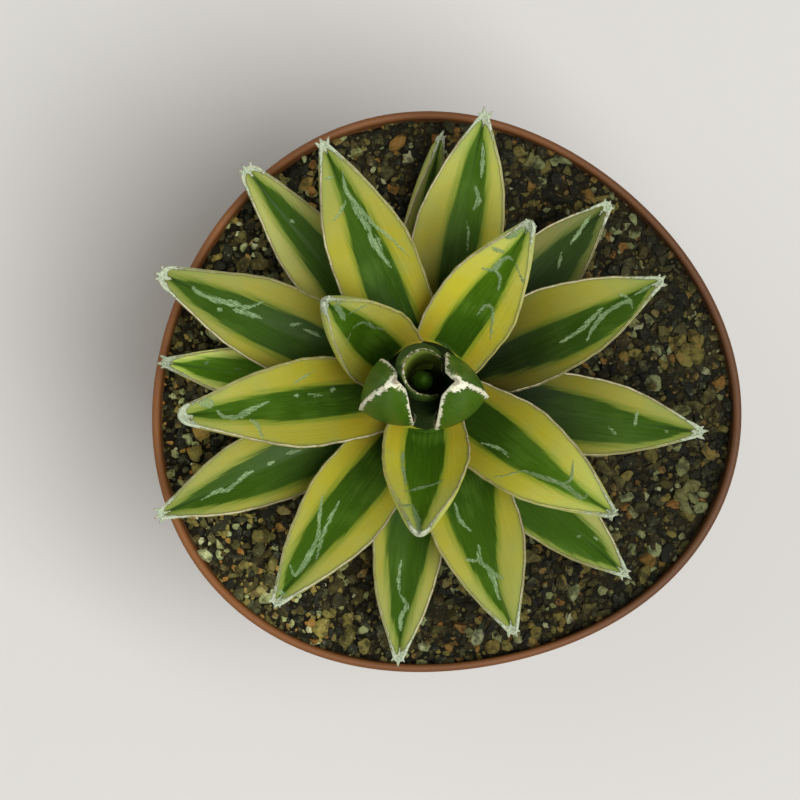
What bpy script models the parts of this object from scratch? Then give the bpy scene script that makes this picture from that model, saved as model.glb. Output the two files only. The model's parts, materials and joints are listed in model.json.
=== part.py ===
"""Potted queen victoria agave: a young variegated rosette in a soft brown nursery pot.

The origin is the centre of the pot's underside, +Z is up, +X is the right side and +Y the far
side of the view from above. Lengths are in millimetres until a mesh is made.
"""

import math
import random
from dataclasses import dataclass

import bmesh
import bpy
from mathutils import Matrix, Vector, noise

MM = 0.001
GAP = 0.3
SHARP_ANGLE = math.radians(40.0)

# Pot, a thin soft shell that is pulled out of round at its mouth
POT_HEIGHT = 95.0
POT_MOUTH_RADIUS = 60.0
POT_FOOT_RADIUS = 42.5
POT_FOOT_INSET = 2.5
POT_FOOT_ROUND = 0.7
POT_BAND_HEIGHT = 11.0
POT_BAND_STEP = 1.3
POT_BAND_SLOPE = 0.9
POT_THROAT_SHARE = 0.625
POT_WALL = 1.1
POT_WAIST = 42.0
POT_LIP = 1.7
POT_LIP_ROUND = 0.8
POT_LIP_TOP = (0.3, 0.75)
POT_FLOOR = 1.6
POT_SIDES = 64
OVAL = 0.0239
THREE_LOBED = 0.030
THREE_LOBED_TURN = math.radians(17.5)
PULL_GROWTH = 1.6
DRAIN_HOLES = 6
DRAIN_HOLE_RADIUS = 4.0
DRAIN_HOLE_SIDES = 16
DRAIN_CIRCLE_RADIUS = 29.0
DRAIN_OVERCUT = 2.0

# Soil
SOIL_LEVEL = 91.5
SOIL_RELIEF = 0.7
SOIL_BROAD_WAVES = 0.11
SOIL_SHORT_WAVES = 0.31
SOIL_NOISE_LAYER = 3.7
SOIL_MOUND = 0.9
SOIL_MOUND_RADIUS = 26.0
SOIL_SIDES = 64
SOIL_RINGS = 13
SOIL_RING_CROWDING = 1.15
SOIL_WALL_GAP = 0.45
SOIL_FOOT = 6.0

# Stones that are fused into the soil's surface
STONES = 64
STONE_SEED = 11
STONE_RADII = (1.3, 2.3)
STONE_FIELD_RADIUS = 54.5
STONE_SPACING = 0.6
STONE_TRIES = 4000
STONE_LENGTHS = (0.85, 1.2)
STONE_WIDTHS = (0.75, 1.0)
STONE_HEIGHTS = (0.6, 0.8)
STONE_TILT = 0.4
STONE_PROUD = 0.12
BARE_RING = 12.0

# Stem, a short thick stub that stands in a plain hole in the soil
STEM_X = -4.2
STEM_Y = 1.2
STEM_RADIUS = 12.0
STEM_DOME_FOOT = 100.0
STEM_DOME_RISE = 18.0
STEM_DOME_RINGS = 9
STEM_DOME_END = math.radians(78.0)
STEM_TAPER_DEPTH = 5.0
STEM_ROOT_DEPTH = 24.0
STEM_ROOT_RADIUS = 6.0
STEM_SIDES = 28

# Leaves stand on a golden-angle spiral, the oldest lowest on the stem
GOLDEN_ANGLE = 137.508
FIRST_AZIMUTH = 139.0
OLDEST_SEAT = 97.2
SEAT_PITCH = 0.88
SEAT_DEPTH = 3.0
NECK = 0.62
YOUNG_NECK = 0.84
WIDEST_AT = 0.46
YOUNG_WIDEST_AT = 0.3
TAPER = 1.75
YOUNG_TAPER = 1.45
CURL = 0.3
YOUNG_CURL = 0.75
TIP_CURL = 0.5
YOUNG_TIP_CURL = 0.25
BACK_ROUND = 2.2
TIP_BACK_ROUND = 1.4
MARGIN_THICKNESS = 0.8
FOOT_FULLNESS = 0.17
FULLNESS_GROWTH = 1.95
FULLNESS_SHAPE = 0.6
YOUTH_FADE = 3
END_FADE_START = 8.0
END_FADE_SPAN = 6.0
LEAF_STATIONS = (0.0, 0.09, 0.2, 0.33, 0.47, 0.6, 0.72, 0.83, 0.92, 0.97, 0.992)
LEAF_UPPER_POINTS = 5
LEAF_LOWER_POINTS = 5

# End spines
SPINE_RADIUS = 0.5
SPINE_SIDES = 5
SPINE_SINK = 0.35
SPINE_LIFT = 0.15

# Bud
BUD_SEAT_DEPTH = 1.5
BUD_END_RADIUS = 0.5
BUD_MOST_CURL = 1.5
BUD_FOOT_ROLL = 0.8
BUD_ROLL_SHARE = 0.33
BUD_FOOT_FULLNESS = 0.35
BUD_FULLNESS_GROWTH = 1.6
BUD_FULLNESS_SHAPE = 0.7
BUD_UPPER_POINTS = 9
BUD_LOWER_POINTS = 9
BUD_CORE_RADIUS = 2.2
BUD_CORE_FOOT_SHARE = 0.45
BUD_CORE_BELLY = 2.2
BUD_CORE_RISE = 52.0
BUD_CORE_STATIONS = (0.0, 0.2, 0.45, 0.7, 0.88)
BUD_CORE_SIDES = 10


@dataclass(frozen=True)
class Leaf:
    """One open leaf: where its tip lies from the stem's axis, and how its blade is shaped."""

    name: str
    azimuth: float
    reach: float
    rise: float
    width: float
    end_radius: float
    spines: int = 1
    thickness: float = 4.6
    bow: float = 2.6
    sway: float = 0.0
    roll: float = 0.0


# Youngest open leaf first, in the order in which they grew
LEAVES = (
    Leaf("leaf_01", 142.5, 23.7, 54.0, 17.7, 1.3, thickness=4.1),
    Leaf("leaf_02", 268.5, 30.0, 56.0, 18.6, 1.1, thickness=4.4),
    Leaf("leaf_03", 55.0, 36.0, 55.0, 17.7, 1.4),
    Leaf("leaf_04", 189.0, 47.5, 51.0, 18.5, 2.0, spines=0),
    Leaf("leaf_05", 324.5, 45.5, 47.0, 18.5, 1.2, spines=2),
    Leaf("leaf_06", 113.0, 50.5, 45.0, 18.0, 1.5, spines=3),
    Leaf("leaf_07", 236.5, 52.5, 41.5, 17.5, 1.5, spines=2),
    Leaf("leaf_08", 23.0, 51.5, 37.5, 18.0, 1.3, spines=2),
    Leaf("leaf_09", 157.5, 56.5, 34.5, 18.0, 2.2, spines=3),
    Leaf("leaf_10", 290.0, 53.0, 31.5, 18.5, 1.2, spines=2),
    Leaf("leaf_11", 77.0, 56.0, 30.0, 18.5, 1.1, spines=2),
    Leaf("leaf_12", 206.5, 59.0, 27.5, 16.0, 1.6, spines=3),
    Leaf("leaf_13", 350.5, 57.5, 23.5, 16.5, 1.1, spines=2),
    Leaf("leaf_14", 129.0, 57.0, 22.5, 14.5, 2.0, spines=3),
    Leaf("leaf_15", 265.0, 56.0, 20.0, 14.5, 1.3),
    Leaf("leaf_16", 44.5, 54.0, 17.0, 15.5, 1.3),
    Leaf("leaf_17", 174.5, 53.5, 17.5, 12.0, 1.2, spines=2),
    Leaf("leaf_18", 317.5, 57.0, 13.5, 15.5, 1.0),
    Leaf("leaf_19", 85.5, 52.5, 13.0, 10.0, 0.8, thickness=3.4, sway=1.6, roll=50.0),
)


@dataclass(frozen=True)
class Spine:
    """One horny end spine: how far back and aside of the tip it stands, its length and its lean."""

    back: float
    aside: float
    length: float
    lean: float


SPINES = (
    Spine(back=1.2, aside=0.0, length=1.3, lean=0.0),
    Spine(back=1.6, aside=-0.6, length=0.9, lean=-0.4),
    Spine(back=1.6, aside=0.6, length=0.9, lean=0.35),
)


@dataclass(frozen=True)
class BudLeaf:
    """One upright leaf of the closed bud, which wraps what stands inside it.

    A cup is the depth in millimetres that the blade keeps along its length, and a hollow is the
    radius that it is rolled to.
    """

    name: str
    seat_azimuth: float
    seat_radius: float
    turn: float
    tip_azimuth: float
    tip_radius: float
    rise: float
    half_width: float
    thickness: float
    bulge: float
    sway: float = 0.0
    cup: float = 0.0
    hollow: float = 0.0
    keel_shape: float = 1.15
    keel_shift: float = 0.0


BUD_LEAVES = (
    BudLeaf("bud_leaf_1", 343.0, 5.6, 352.0, 346.0, 6.1, 62.0, 7.9, 6.6, 0.3, sway=-0.85, cup=2.5),
    BudLeaf("bud_leaf_2", 212.0, 5.5, 206.0, 194.0, 5.3, 62.0, 7.2, 6.0, 2.0, cup=1.9),
    BudLeaf("bud_leaf_3", 150.0, 2.5, 172.0, 164.0, 3.9, 63.0, 9.6, 2.5, 0.6,
            hollow=4.2, keel_shape=1.5, keel_shift=-0.42),
)

# Stones that stand out, as x, y and mean radius, and the rest are drawn at random
KEY_STONES = (
    (51.5, 10.5, 3.6), (44.5, 3.0, 1.9), (38.5, 9.0, 1.7), (53.0, 17.5, 1.7), (50.5, -14.5, 2.2),
    (52.5, -21.0, 3.4), (49.0, -22.5, 1.5), (34.5, -15.0, 2.0), (44.0, -12.5, 2.0), (44.5, -32.0, 2.0),
    (42.5, -37.0, 1.9), (19.5, -49.0, 2.7), (25.0, -47.0, 2.5), (10.5, -52.0, 2.0), (7.5, -50.0, 1.8),
    (18.0, -33.0, 2.0), (-51.5, -11.5, 2.0), (-45.0, -27.0, 2.2), (-38.0, -29.0, 2.3),
    (-38.5, -40.5, 2.0), (-25.0, -48.5, 2.1), (-9.5, 53.5, 2.4), (-28.0, 45.0, 1.9), (-18.0, 51.5, 1.7),
    (20.5, 49.5, 2.0), (21.5, 45.5, 1.8), (31.0, 42.0, 1.4), (16.5, 52.0, 1.7),
)


def mouth_factor(angle):
    """How far the mouth's outline is out of round at this angle."""
    return OVAL * math.cos(2 * angle) + THREE_LOBED * math.cos(3 * (angle + THREE_LOBED_TURN))


def pot_point(radius, height, angle):
    """A point at this mean radius and height, pulled out of round towards the mouth."""
    share = (height / POT_HEIGHT) ** PULL_GROWTH
    actual = radius * (1 + share * mouth_factor(angle))
    return Vector((actual * math.cos(angle), actual * math.sin(angle), height))


def pot_outer_radius(height):
    """The mean outer radius of the plain wall, under the rim band."""
    wall_top = POT_HEIGHT - POT_BAND_HEIGHT
    top_radius = POT_MOUTH_RADIUS - 2 * POT_BAND_STEP
    return POT_FOOT_RADIUS + (top_radius - POT_FOOT_RADIUS) * height / wall_top


def pot_inner_radius(height):
    """The mean inner radius of the pot, which widens to the lip inside the rim band."""
    band_foot = POT_HEIGHT - POT_BAND_HEIGHT
    if height <= band_foot:
        return pot_outer_radius(height) - POT_WALL
    share = (height - band_foot) / POT_BAND_HEIGHT
    foot = pot_outer_radius(band_foot) - POT_WALL
    return foot + (POT_MOUTH_RADIUS - POT_LIP - foot) * min(1.0, share / POT_THROAT_SHARE)


def stem_radius(height):
    """The radius of the stem above the soil at this height."""
    share = max(0.0, (height - STEM_DOME_FOOT) / STEM_DOME_RISE)
    return STEM_RADIUS * math.sqrt(max(0.0, 1 - share * share))


def dome_height(radius):
    """The height of the stem's dome at this radius."""
    return STEM_DOME_FOOT + STEM_DOME_RISE * math.sqrt(1 - (radius / STEM_RADIUS) ** 2)


def from_stem(azimuth, radius, height):
    """A point at this azimuth in degrees and this radius from the stem's axis."""
    angle = math.radians(azimuth)
    return Vector((STEM_X + radius * math.cos(angle), STEM_Y + radius * math.sin(angle), height))


def material(name, colour, roughness):
    """A Principled BSDF with one plain colour."""
    made = bpy.data.materials.new(name)
    made.use_nodes = True
    shader = made.node_tree.nodes["Principled BSDF"]
    shader.inputs["Base Color"].default_value = (*colour, 1.0)
    shader.inputs["Roughness"].default_value = roughness
    shader.inputs["Metallic"].default_value = 0.0
    return made


def add_object(name, mesh_data, surface):
    """Put a bmesh into the scene as one named object."""
    bmesh.ops.recalc_face_normals(mesh_data, faces=mesh_data.faces)
    mesh = bpy.data.meshes.new(name)
    mesh_data.to_mesh(mesh)
    mesh_data.free()
    mesh.shade_smooth()
    mesh.set_sharp_from_angle(angle=SHARP_ANGLE)
    mesh.materials.append(surface)
    made = bpy.data.objects.new(name, mesh)
    bpy.context.collection.objects.link(made)
    return made


def add_to_collection(collection, name, mesh_data, surface):
    """Put a bmesh into one collection, as a helper for a Boolean."""
    made = add_object(name, mesh_data, surface)
    collection.objects.link(made)
    bpy.context.collection.objects.unlink(made)


def new_collection(name):
    """An empty collection in the scene."""
    made = bpy.data.collections.new(name)
    bpy.context.scene.collection.children.link(made)
    return made


def loft(rings, first_point=None, last_point=None):
    """Skin closed rings into one body, with each end a fan to a point or a flat face."""
    body = bmesh.new()
    rows = [[body.verts.new(point * MM) for point in ring] for ring in rings]
    count = len(rows[0])
    for lower, upper in zip(rows, rows[1:]):
        for k in range(count):
            following = (k + 1) % count
            body.faces.new((lower[k], lower[following], upper[following], upper[k]))
    for row, point in ((rows[0], first_point), (rows[-1], last_point)):
        if point is None:
            body.faces.new(row)
            continue
        apex = body.verts.new(point * MM)
        for k in range(count):
            body.faces.new((row[k], row[(k + 1) % count], apex))
    return body


def boolean(target, operation, other=None, collection=None):
    """Apply one Boolean to the target, with one object or with all of a collection."""
    cut = target.modifiers.new(operation.lower(), "BOOLEAN")
    cut.operation = operation
    if collection is None:
        cut.object = other
    else:
        cut.operand_type = "COLLECTION"
        cut.collection = collection
    bpy.context.view_layer.objects.active = target
    bpy.ops.object.modifier_apply(modifier=cut.name)


def remove(objects):
    """Delete objects that have done their work."""
    for done in list(objects):
        bpy.data.objects.remove(done, do_unlink=True)


def circle(centre, radius, height, sides):
    """A level ring of points."""
    x, y = centre
    turn = math.tau / sides
    return [Vector((x + radius * math.cos(k * turn), y + radius * math.sin(k * turn), height))
            for k in range(sides)]


def pot_ring(radius, height, sides=POT_SIDES):
    """A level ring that is pulled out of round as the pot is."""
    return [pot_point(radius, height, math.tau * k / sides) for k in range(sides)]


def make_pot(surface):
    """A thin tapered shell with a rounded lip, a rim band and drain holes."""
    band_foot = POT_HEIGHT - POT_BAND_HEIGHT
    wall_top = pot_outer_radius(band_foot)
    throat = band_foot + POT_BAND_HEIGHT * POT_THROAT_SHARE
    outside = [
        (POT_FOOT_RADIUS - POT_FOOT_INSET, 0.0),
        (POT_FOOT_RADIUS - POT_FOOT_ROUND, POT_FOOT_ROUND),
        (pot_outer_radius(POT_FOOT_INSET), POT_FOOT_INSET),
        (pot_outer_radius(POT_WAIST), POT_WAIST),
        (wall_top, band_foot),
        (wall_top + POT_BAND_STEP, band_foot + POT_BAND_SLOPE),
        (POT_MOUTH_RADIUS, POT_HEIGHT - POT_LIP_ROUND),
        (POT_MOUTH_RADIUS - POT_LIP * POT_LIP_TOP[0], POT_HEIGHT),
    ]
    inside = [
        (POT_MOUTH_RADIUS - POT_LIP * POT_LIP_TOP[1], POT_HEIGHT),
        (POT_MOUTH_RADIUS - POT_LIP, POT_HEIGHT - POT_LIP_ROUND),
        (pot_inner_radius(throat), throat),
        (pot_inner_radius(band_foot), band_foot),
        (pot_inner_radius(POT_WAIST), POT_WAIST),
        (pot_inner_radius(POT_FLOOR + POT_FOOT_INSET), POT_FLOOR + POT_FOOT_INSET),
        (POT_FOOT_RADIUS - POT_WALL - POT_FOOT_INSET, POT_FLOOR),
    ]
    pot = add_object("pot", loft([pot_ring(*place) for place in outside + inside]), surface)
    cutters = new_collection("drain hole cutters")
    for k in range(DRAIN_HOLES):
        angle = math.tau * k / DRAIN_HOLES
        centre = (DRAIN_CIRCLE_RADIUS * math.cos(angle), DRAIN_CIRCLE_RADIUS * math.sin(angle))
        ends = [circle(centre, DRAIN_HOLE_RADIUS, height, DRAIN_HOLE_SIDES)
                for height in (-DRAIN_OVERCUT, POT_FLOOR + DRAIN_OVERCUT)]
        add_to_collection(cutters, f"drain_cutter_{k}", loft(ends), surface)
    boolean(pot, "DIFFERENCE", collection=cutters)
    remove(cutters.objects)
    bpy.data.collections.remove(cutters)


def soil_height(x, y):
    """The relief of the soil, a low mound round the stem and a gentle unevenness."""
    away = math.hypot(x - STEM_X, y - STEM_Y)
    mound = SOIL_MOUND * math.exp(-(away / SOIL_MOUND_RADIUS) ** 2)
    broad = noise.noise(Vector((x * SOIL_BROAD_WAVES, y * SOIL_BROAD_WAVES, SOIL_NOISE_LAYER)))
    short = noise.noise(Vector((x * SOIL_SHORT_WAVES, y * SOIL_SHORT_WAVES, SOIL_NOISE_LAYER - 1.0)))
    return SOIL_LEVEL + mound + SOIL_RELIEF * (broad + short)


def stone_places():
    """The centres and radii of the stones, clear of each other, the stem and the pot."""
    draw = random.Random(STONE_SEED)
    places = list(KEY_STONES)
    tries = 0
    while len(places) < STONES and tries < STONE_TRIES:
        tries += 1
        radius = draw.uniform(*STONE_RADII)
        away = STONE_FIELD_RADIUS * math.sqrt(draw.random())
        angle = draw.uniform(0.0, math.tau)
        x = away * math.cos(angle)
        y = away * math.sin(angle)
        if math.hypot(x - STEM_X, y - STEM_Y) < STEM_RADIUS + BARE_RING:
            continue
        if all(math.hypot(x - a, y - b) > radius + c + STONE_SPACING for a, b, c in places):
            places.append((x, y, radius))
    return places


def stone_body(draw, x, y, radius):
    """One squashed stone, turned at random and half sunk into the soil."""
    body = bmesh.new()
    bmesh.ops.create_icosphere(body, subdivisions=1, radius=radius * MM)
    sizes = [draw.uniform(*limits) for limits in (STONE_LENGTHS, STONE_WIDTHS, STONE_HEIGHTS)]
    spin = Matrix.Rotation(draw.uniform(0.0, math.tau), 4, "Z")
    tilt = Matrix.Rotation(draw.uniform(-STONE_TILT, STONE_TILT), 4, "X")
    middle = Vector((x, y, soil_height(x, y) + STONE_PROUD * radius)) * MM
    body.transform(Matrix.Translation(middle) @ spin @ tilt @ Matrix.Diagonal((*sizes, 1.0)))
    return body


def make_soil(surface):
    """Soil that fills the pot, with a hole for the stem and stones fused into its surface."""

    def wall_ring(height):
        """The soil's outline against the pot's wall at this height."""
        return pot_ring(pot_inner_radius(height) - SOIL_WALL_GAP, height, SOIL_SIDES)

    axis = (STEM_X, STEM_Y)
    edge = wall_ring(SOIL_LEVEL)
    hole_radius = STEM_RADIUS + GAP
    hole = circle(axis, hole_radius, SOIL_LEVEL, SOIL_SIDES)
    foot_radius = POT_FOOT_RADIUS - POT_WALL - POT_FOOT_INSET - GAP
    rings = [pot_ring(foot_radius, POT_FLOOR + GAP, SOIL_SIDES), wall_ring(SOIL_FOOT),
             wall_ring(POT_WAIST), wall_ring(POT_HEIGHT - POT_BAND_HEIGHT)]
    for step in range(SOIL_RINGS + 1):
        share = 1 - (1 - step / SOIL_RINGS) ** SOIL_RING_CROWDING
        ring = [outer.lerp(inner, share) for outer, inner in zip(edge, hole)]
        rings.append([Vector((p.x, p.y, soil_height(p.x, p.y))) for p in ring])
    hole_floor = SOIL_LEVEL - STEM_ROOT_DEPTH - GAP
    rings.append(circle(axis, hole_radius, SOIL_LEVEL - STEM_TAPER_DEPTH, SOIL_SIDES))
    rings.append(circle(axis, STEM_ROOT_RADIUS + 2 * GAP, hole_floor, SOIL_SIDES))
    soil = add_object("soil", loft(rings), surface)

    stones = new_collection("stones")
    draw = random.Random(STONE_SEED + 1)
    for k, place in enumerate(stone_places()):
        add_to_collection(stones, f"stone_{k}", stone_body(draw, *place), surface)
    boolean(soil, "UNION", collection=stones)
    remove(stones.objects)
    bpy.data.collections.remove(stones)


def stem_rings(extra):
    """Rings of the stem from its dome down to its root end, grown outwards by extra."""
    axis = (STEM_X, STEM_Y)
    rings = []
    for step in range(STEM_DOME_RINGS):
        lean = STEM_DOME_END * (1 - step / (STEM_DOME_RINGS - 1))
        radius = (STEM_RADIUS + extra) * math.cos(lean)
        height = STEM_DOME_FOOT + (STEM_DOME_RISE + extra) * math.sin(lean)
        rings.append(circle(axis, radius, height, STEM_SIDES))
    rings.append(circle(axis, STEM_RADIUS + extra, SOIL_LEVEL - STEM_TAPER_DEPTH, STEM_SIDES))
    rings.append(circle(axis, STEM_ROOT_RADIUS + extra, SOIL_LEVEL - STEM_ROOT_DEPTH - extra, STEM_SIDES))
    return rings


def stem_apex(extra):
    """The top of the stem's dome, grown upwards by extra."""
    return Vector((STEM_X, STEM_Y, STEM_DOME_FOOT + STEM_DOME_RISE + extra))


def blend(first, second, share):
    """The value between two at this share of the way."""
    return first + (second - first) * share


def blade_outline(share, youth):
    """Half width of a blade along its length, as a share of the widest half width.

    A young leaf, with a youth near 1, is widest close to its base, and an old one halfway out.
    """
    neck = blend(NECK, YOUNG_NECK, youth)
    widest = blend(WIDEST_AT, YOUNG_WIDEST_AT, youth)
    if share < widest:
        rise = share / widest
        return blend(neck, 1.0, rise * (2 - rise))
    fall = (share - widest) / (1 - widest)
    return 1 - fall ** blend(TAPER, YOUNG_TAPER, youth)


def end_width(left, radius):
    """Half width of a blade's rounded end at this distance from its tip."""
    inside = min(left, radius)
    fade = min(1.0, max(0.0, (END_FADE_START - left / radius) / END_FADE_SPAN))
    return math.sqrt(inside * (2 * radius - inside)) * fade * fade * (3 - 2 * fade)


def blade_ring(frame, half_width, curl, thickness, roundness, keel_shift, counts):
    """One closed section: the hollowed upper face and the keeled back below it.

    The counts are how many points lie on the upper face and on the back.
    """
    centre, side, normal, _ = frame
    upper_count, lower_count = counts
    section = [(2 * k / (upper_count - 1) - 1, 0.0) for k in range(upper_count)]
    for k in range(lower_count):
        across = 1 - 2 * k / (lower_count - 1)
        shifted = abs(across - keel_shift * (1 - across ** 2))
        section.append((across, blend(MARGIN_THICKNESS, thickness, 1 - shifted ** roundness)))
    points = []
    radius = half_width / curl
    for across, depth in section:
        angle = curl * across
        x = (radius + depth) * math.sin(angle)
        y = radius - (radius + depth) * math.cos(angle)
        points.append(centre + side * x + normal * y)
    return points


def blade_frame(foot, tip, facing, bow, sway, roll, share):
    """The centre, side, upper normal and tangent of a blade at one share of its length."""
    chord = tip - foot
    along = chord.normalized()
    side = Vector((-math.sin(facing), math.cos(facing), 0.0))
    side = (side - along * side.dot(along)).normalized()
    normal = along.cross(side)
    arc = 4 * share * (1 - share)
    slope = 4 * (1 - 2 * share)
    centre = foot + chord * share - normal * (bow * arc) + side * (sway * arc)
    tangent = (chord - normal * (bow * slope) + side * (sway * slope)).normalized()
    side = (side - tangent * side.dot(tangent)).normalized()
    side = Matrix.Rotation(roll * share, 3, tangent) @ side
    return centre, side, tangent.cross(side), tangent


def spine_body(spine, frame):
    """A slim cone whose root is sunk into the leaf's end."""
    end, side, normal, tangent = frame
    root = end - tangent * spine.back + side * spine.aside - normal * SPINE_SINK
    ahead = (tangent + side * spine.lean + normal * SPINE_LIFT).normalized()
    across = ahead.orthogonal().normalized()
    other = ahead.cross(across)
    ring = []
    for k in range(SPINE_SIDES):
        turn = math.tau * k / SPINE_SIDES
        ring.append(root + (across * math.cos(turn) + other * math.sin(turn)) * SPINE_RADIUS)
    return loft([ring], last_point=root + ahead * (spine.back + spine.length))


def make_leaf(leaf, age, surface, seat_cutter):
    """A thick boat-shaped blade with its end spines, seated on the stem."""
    seat_height = OLDEST_SEAT + SEAT_PITCH * (len(LEAVES) - 1 - age)
    seat = from_stem(FIRST_AZIMUTH + GOLDEN_ANGLE * age, stem_radius(seat_height), seat_height)
    tip = from_stem(leaf.azimuth, leaf.reach, SOIL_LEVEL + leaf.rise)
    chord = tip - seat
    facing = math.atan2(chord.y, chord.x)
    foot = seat - chord.normalized() * SEAT_DEPTH
    length = (tip - foot).length
    youth = (1 - age / len(LEAVES)) ** YOUTH_FADE
    shape = (foot, tip, facing, leaf.bow, leaf.sway, math.radians(leaf.roll))
    rings = []
    for share in LEAF_STATIONS:
        outline = blade_outline(share, youth)
        half_width = math.hypot(leaf.width / 2 * outline, end_width((1 - share) * length, leaf.end_radius))
        curl = blend(CURL, YOUNG_CURL, youth) + blend(TIP_CURL, YOUNG_TIP_CURL, youth) * share ** 2
        fullness = min(1.0, FOOT_FULLNESS + FULLNESS_GROWTH * share) * outline ** FULLNESS_SHAPE
        thickness = blend(MARGIN_THICKNESS, leaf.thickness, fullness)
        roundness = blend(BACK_ROUND, TIP_BACK_ROUND, share)
        rings.append(blade_ring(blade_frame(*shape, share), half_width, curl, thickness, roundness, 0.0,
                                (LEAF_UPPER_POINTS, LEAF_LOWER_POINTS)))
    body = add_object(leaf.name, loft(rings, last_point=tip), surface)
    end_frame = blade_frame(*shape, 1.0)
    for k, spine in enumerate(SPINES[:leaf.spines]):
        horn = add_object(f"{leaf.name}_spine_{k}", spine_body(spine, end_frame), surface)
        boolean(body, "UNION", other=horn)
        remove([horn])
    boolean(body, "DIFFERENCE", other=seat_cutter)


def bud_curl(leaf, half_width, share):
    """Half the angle that a bud leaf's section wraps round."""
    if leaf.cup:
        return min(2 * leaf.cup / half_width, BUD_MOST_CURL)
    return half_width / (leaf.hollow * blend(BUD_FOOT_ROLL, 1.0, min(1.0, share / BUD_ROLL_SHARE)))


def make_bud_leaf(leaf, surface, seat_cutter):
    """A leaf that still stands upright and wraps round the leaves inside it."""
    foot = from_stem(leaf.seat_azimuth, leaf.seat_radius, dome_height(leaf.seat_radius) - BUD_SEAT_DEPTH)
    tip = from_stem(leaf.tip_azimuth, leaf.tip_radius, SOIL_LEVEL + leaf.rise)
    length = (tip - foot).length
    shape = (foot, tip, math.radians(leaf.turn), leaf.bulge, leaf.sway, 0.0)
    rings = []
    for share in LEAF_STATIONS:
        outline = blade_outline(share, 0.0)
        half_width = math.hypot(leaf.half_width * outline, end_width((1 - share) * length, BUD_END_RADIUS))
        fullness = min(1.0, BUD_FOOT_FULLNESS + BUD_FULLNESS_GROWTH * share) * outline ** BUD_FULLNESS_SHAPE
        thickness = blend(MARGIN_THICKNESS, leaf.thickness, fullness)
        rings.append(blade_ring(blade_frame(*shape, share), half_width, bud_curl(leaf, half_width, share),
                                thickness, leaf.keel_shape, leaf.keel_shift,
                                (BUD_UPPER_POINTS, BUD_LOWER_POINTS)))
    body = add_object(leaf.name, loft(rings, last_point=tip), surface)
    boolean(body, "DIFFERENCE", other=seat_cutter)


def make_bud_core(surface):
    """The innermost rolled leaf, a slim closed spindle inside the bud."""
    foot = stem_apex(GAP).z
    height = BUD_CORE_RISE + SOIL_LEVEL - foot
    rings = []
    for share in BUD_CORE_STATIONS:
        belly = BUD_CORE_FOOT_SHARE + BUD_CORE_BELLY * share * (1 - share)
        radius = BUD_CORE_RADIUS * belly * (1 - share ** 4)
        rings.append(circle((STEM_X, STEM_Y), radius, foot + height * share, BUD_CORE_SIDES))
    top = Vector((STEM_X, STEM_Y, foot + height))
    add_object("bud_leaf_4", loft(rings, last_point=top), surface)


def main():
    """Build every piece."""
    remove(bpy.data.objects)
    pot_brown = material("pot brown plastic", (0.22, 0.09, 0.05), 0.5)
    soil_brown = material("gritty soil", (0.07, 0.05, 0.035), 0.95)
    stem_green = material("pale stem", (0.42, 0.46, 0.16), 0.6)
    leaf_green = material("green and yellow leaf", (0.36, 0.42, 0.09), 0.42)
    bud_green = material("bud leaf green", (0.1, 0.19, 0.05), 0.42)
    make_pot(pot_brown)
    make_soil(soil_brown)
    add_object("stem", loft(stem_rings(0.0), first_point=stem_apex(0.0)), stem_green)
    seat_cutter = add_object("seat_cutter", loft(stem_rings(GAP), first_point=stem_apex(GAP)), stem_green)
    for age, leaf in enumerate(LEAVES):
        make_leaf(leaf, age, leaf_green, seat_cutter)
    for leaf in BUD_LEAVES:
        make_bud_leaf(leaf, bud_green, seat_cutter)
    make_bud_core(bud_green)
    remove([seat_cutter])


main()
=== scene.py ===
"""Dresses the potted queen victoria agave: open leaves, bud, stem, gritty soil and nursery pot.

Lengths are in millimetres until a mesh is made, and places are in the part's own frame: the origin
is the centre of the pot's underside, +Z is up, and the view from above has +X on the right.
"""

from __future__ import annotations

import json
import logging
import math
import random
from dataclasses import dataclass, field, replace
from enum import Enum
from typing import Any, Iterable, Sequence

import bmesh
import bpy
import numpy as np
from mathutils import Matrix, Vector, noise

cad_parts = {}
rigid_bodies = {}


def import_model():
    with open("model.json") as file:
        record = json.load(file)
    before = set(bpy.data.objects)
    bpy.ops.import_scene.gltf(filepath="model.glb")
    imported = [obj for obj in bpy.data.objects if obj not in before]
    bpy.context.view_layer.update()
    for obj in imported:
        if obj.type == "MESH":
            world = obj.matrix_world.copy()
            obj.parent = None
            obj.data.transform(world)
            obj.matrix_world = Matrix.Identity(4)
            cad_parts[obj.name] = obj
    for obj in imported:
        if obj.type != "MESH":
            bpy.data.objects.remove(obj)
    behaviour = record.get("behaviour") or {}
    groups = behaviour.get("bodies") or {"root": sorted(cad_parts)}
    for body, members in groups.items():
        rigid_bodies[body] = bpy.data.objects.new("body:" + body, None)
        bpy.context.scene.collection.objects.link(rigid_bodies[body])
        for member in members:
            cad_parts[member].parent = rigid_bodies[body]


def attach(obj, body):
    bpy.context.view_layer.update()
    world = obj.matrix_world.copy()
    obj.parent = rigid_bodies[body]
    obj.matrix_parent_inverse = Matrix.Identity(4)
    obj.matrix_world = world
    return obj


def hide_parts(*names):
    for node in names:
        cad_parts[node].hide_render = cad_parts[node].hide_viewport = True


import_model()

LOG = logging.getLogger("agave")
MM = 0.001
ROOT = "root"
RIM_HEIGHT = 95.0
MOUTH_RADIUS = 60.0
SOIL_LEVEL = 91.5
NO_MARK = 9.0
SPINE_FOOT = 0.03
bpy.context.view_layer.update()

Array = np.ndarray
Colour = tuple[float, float, float]
Point = tuple[float, float]


def smooth(low: float, high: float, value: Array | float) -> Any:
    """A smooth step from 0 at low to 1 at high."""
    share = np.clip((np.asarray(value, float) - low) / (high - low), 0.0, 1.0)
    return share * share * (3 - 2 * share)


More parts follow.
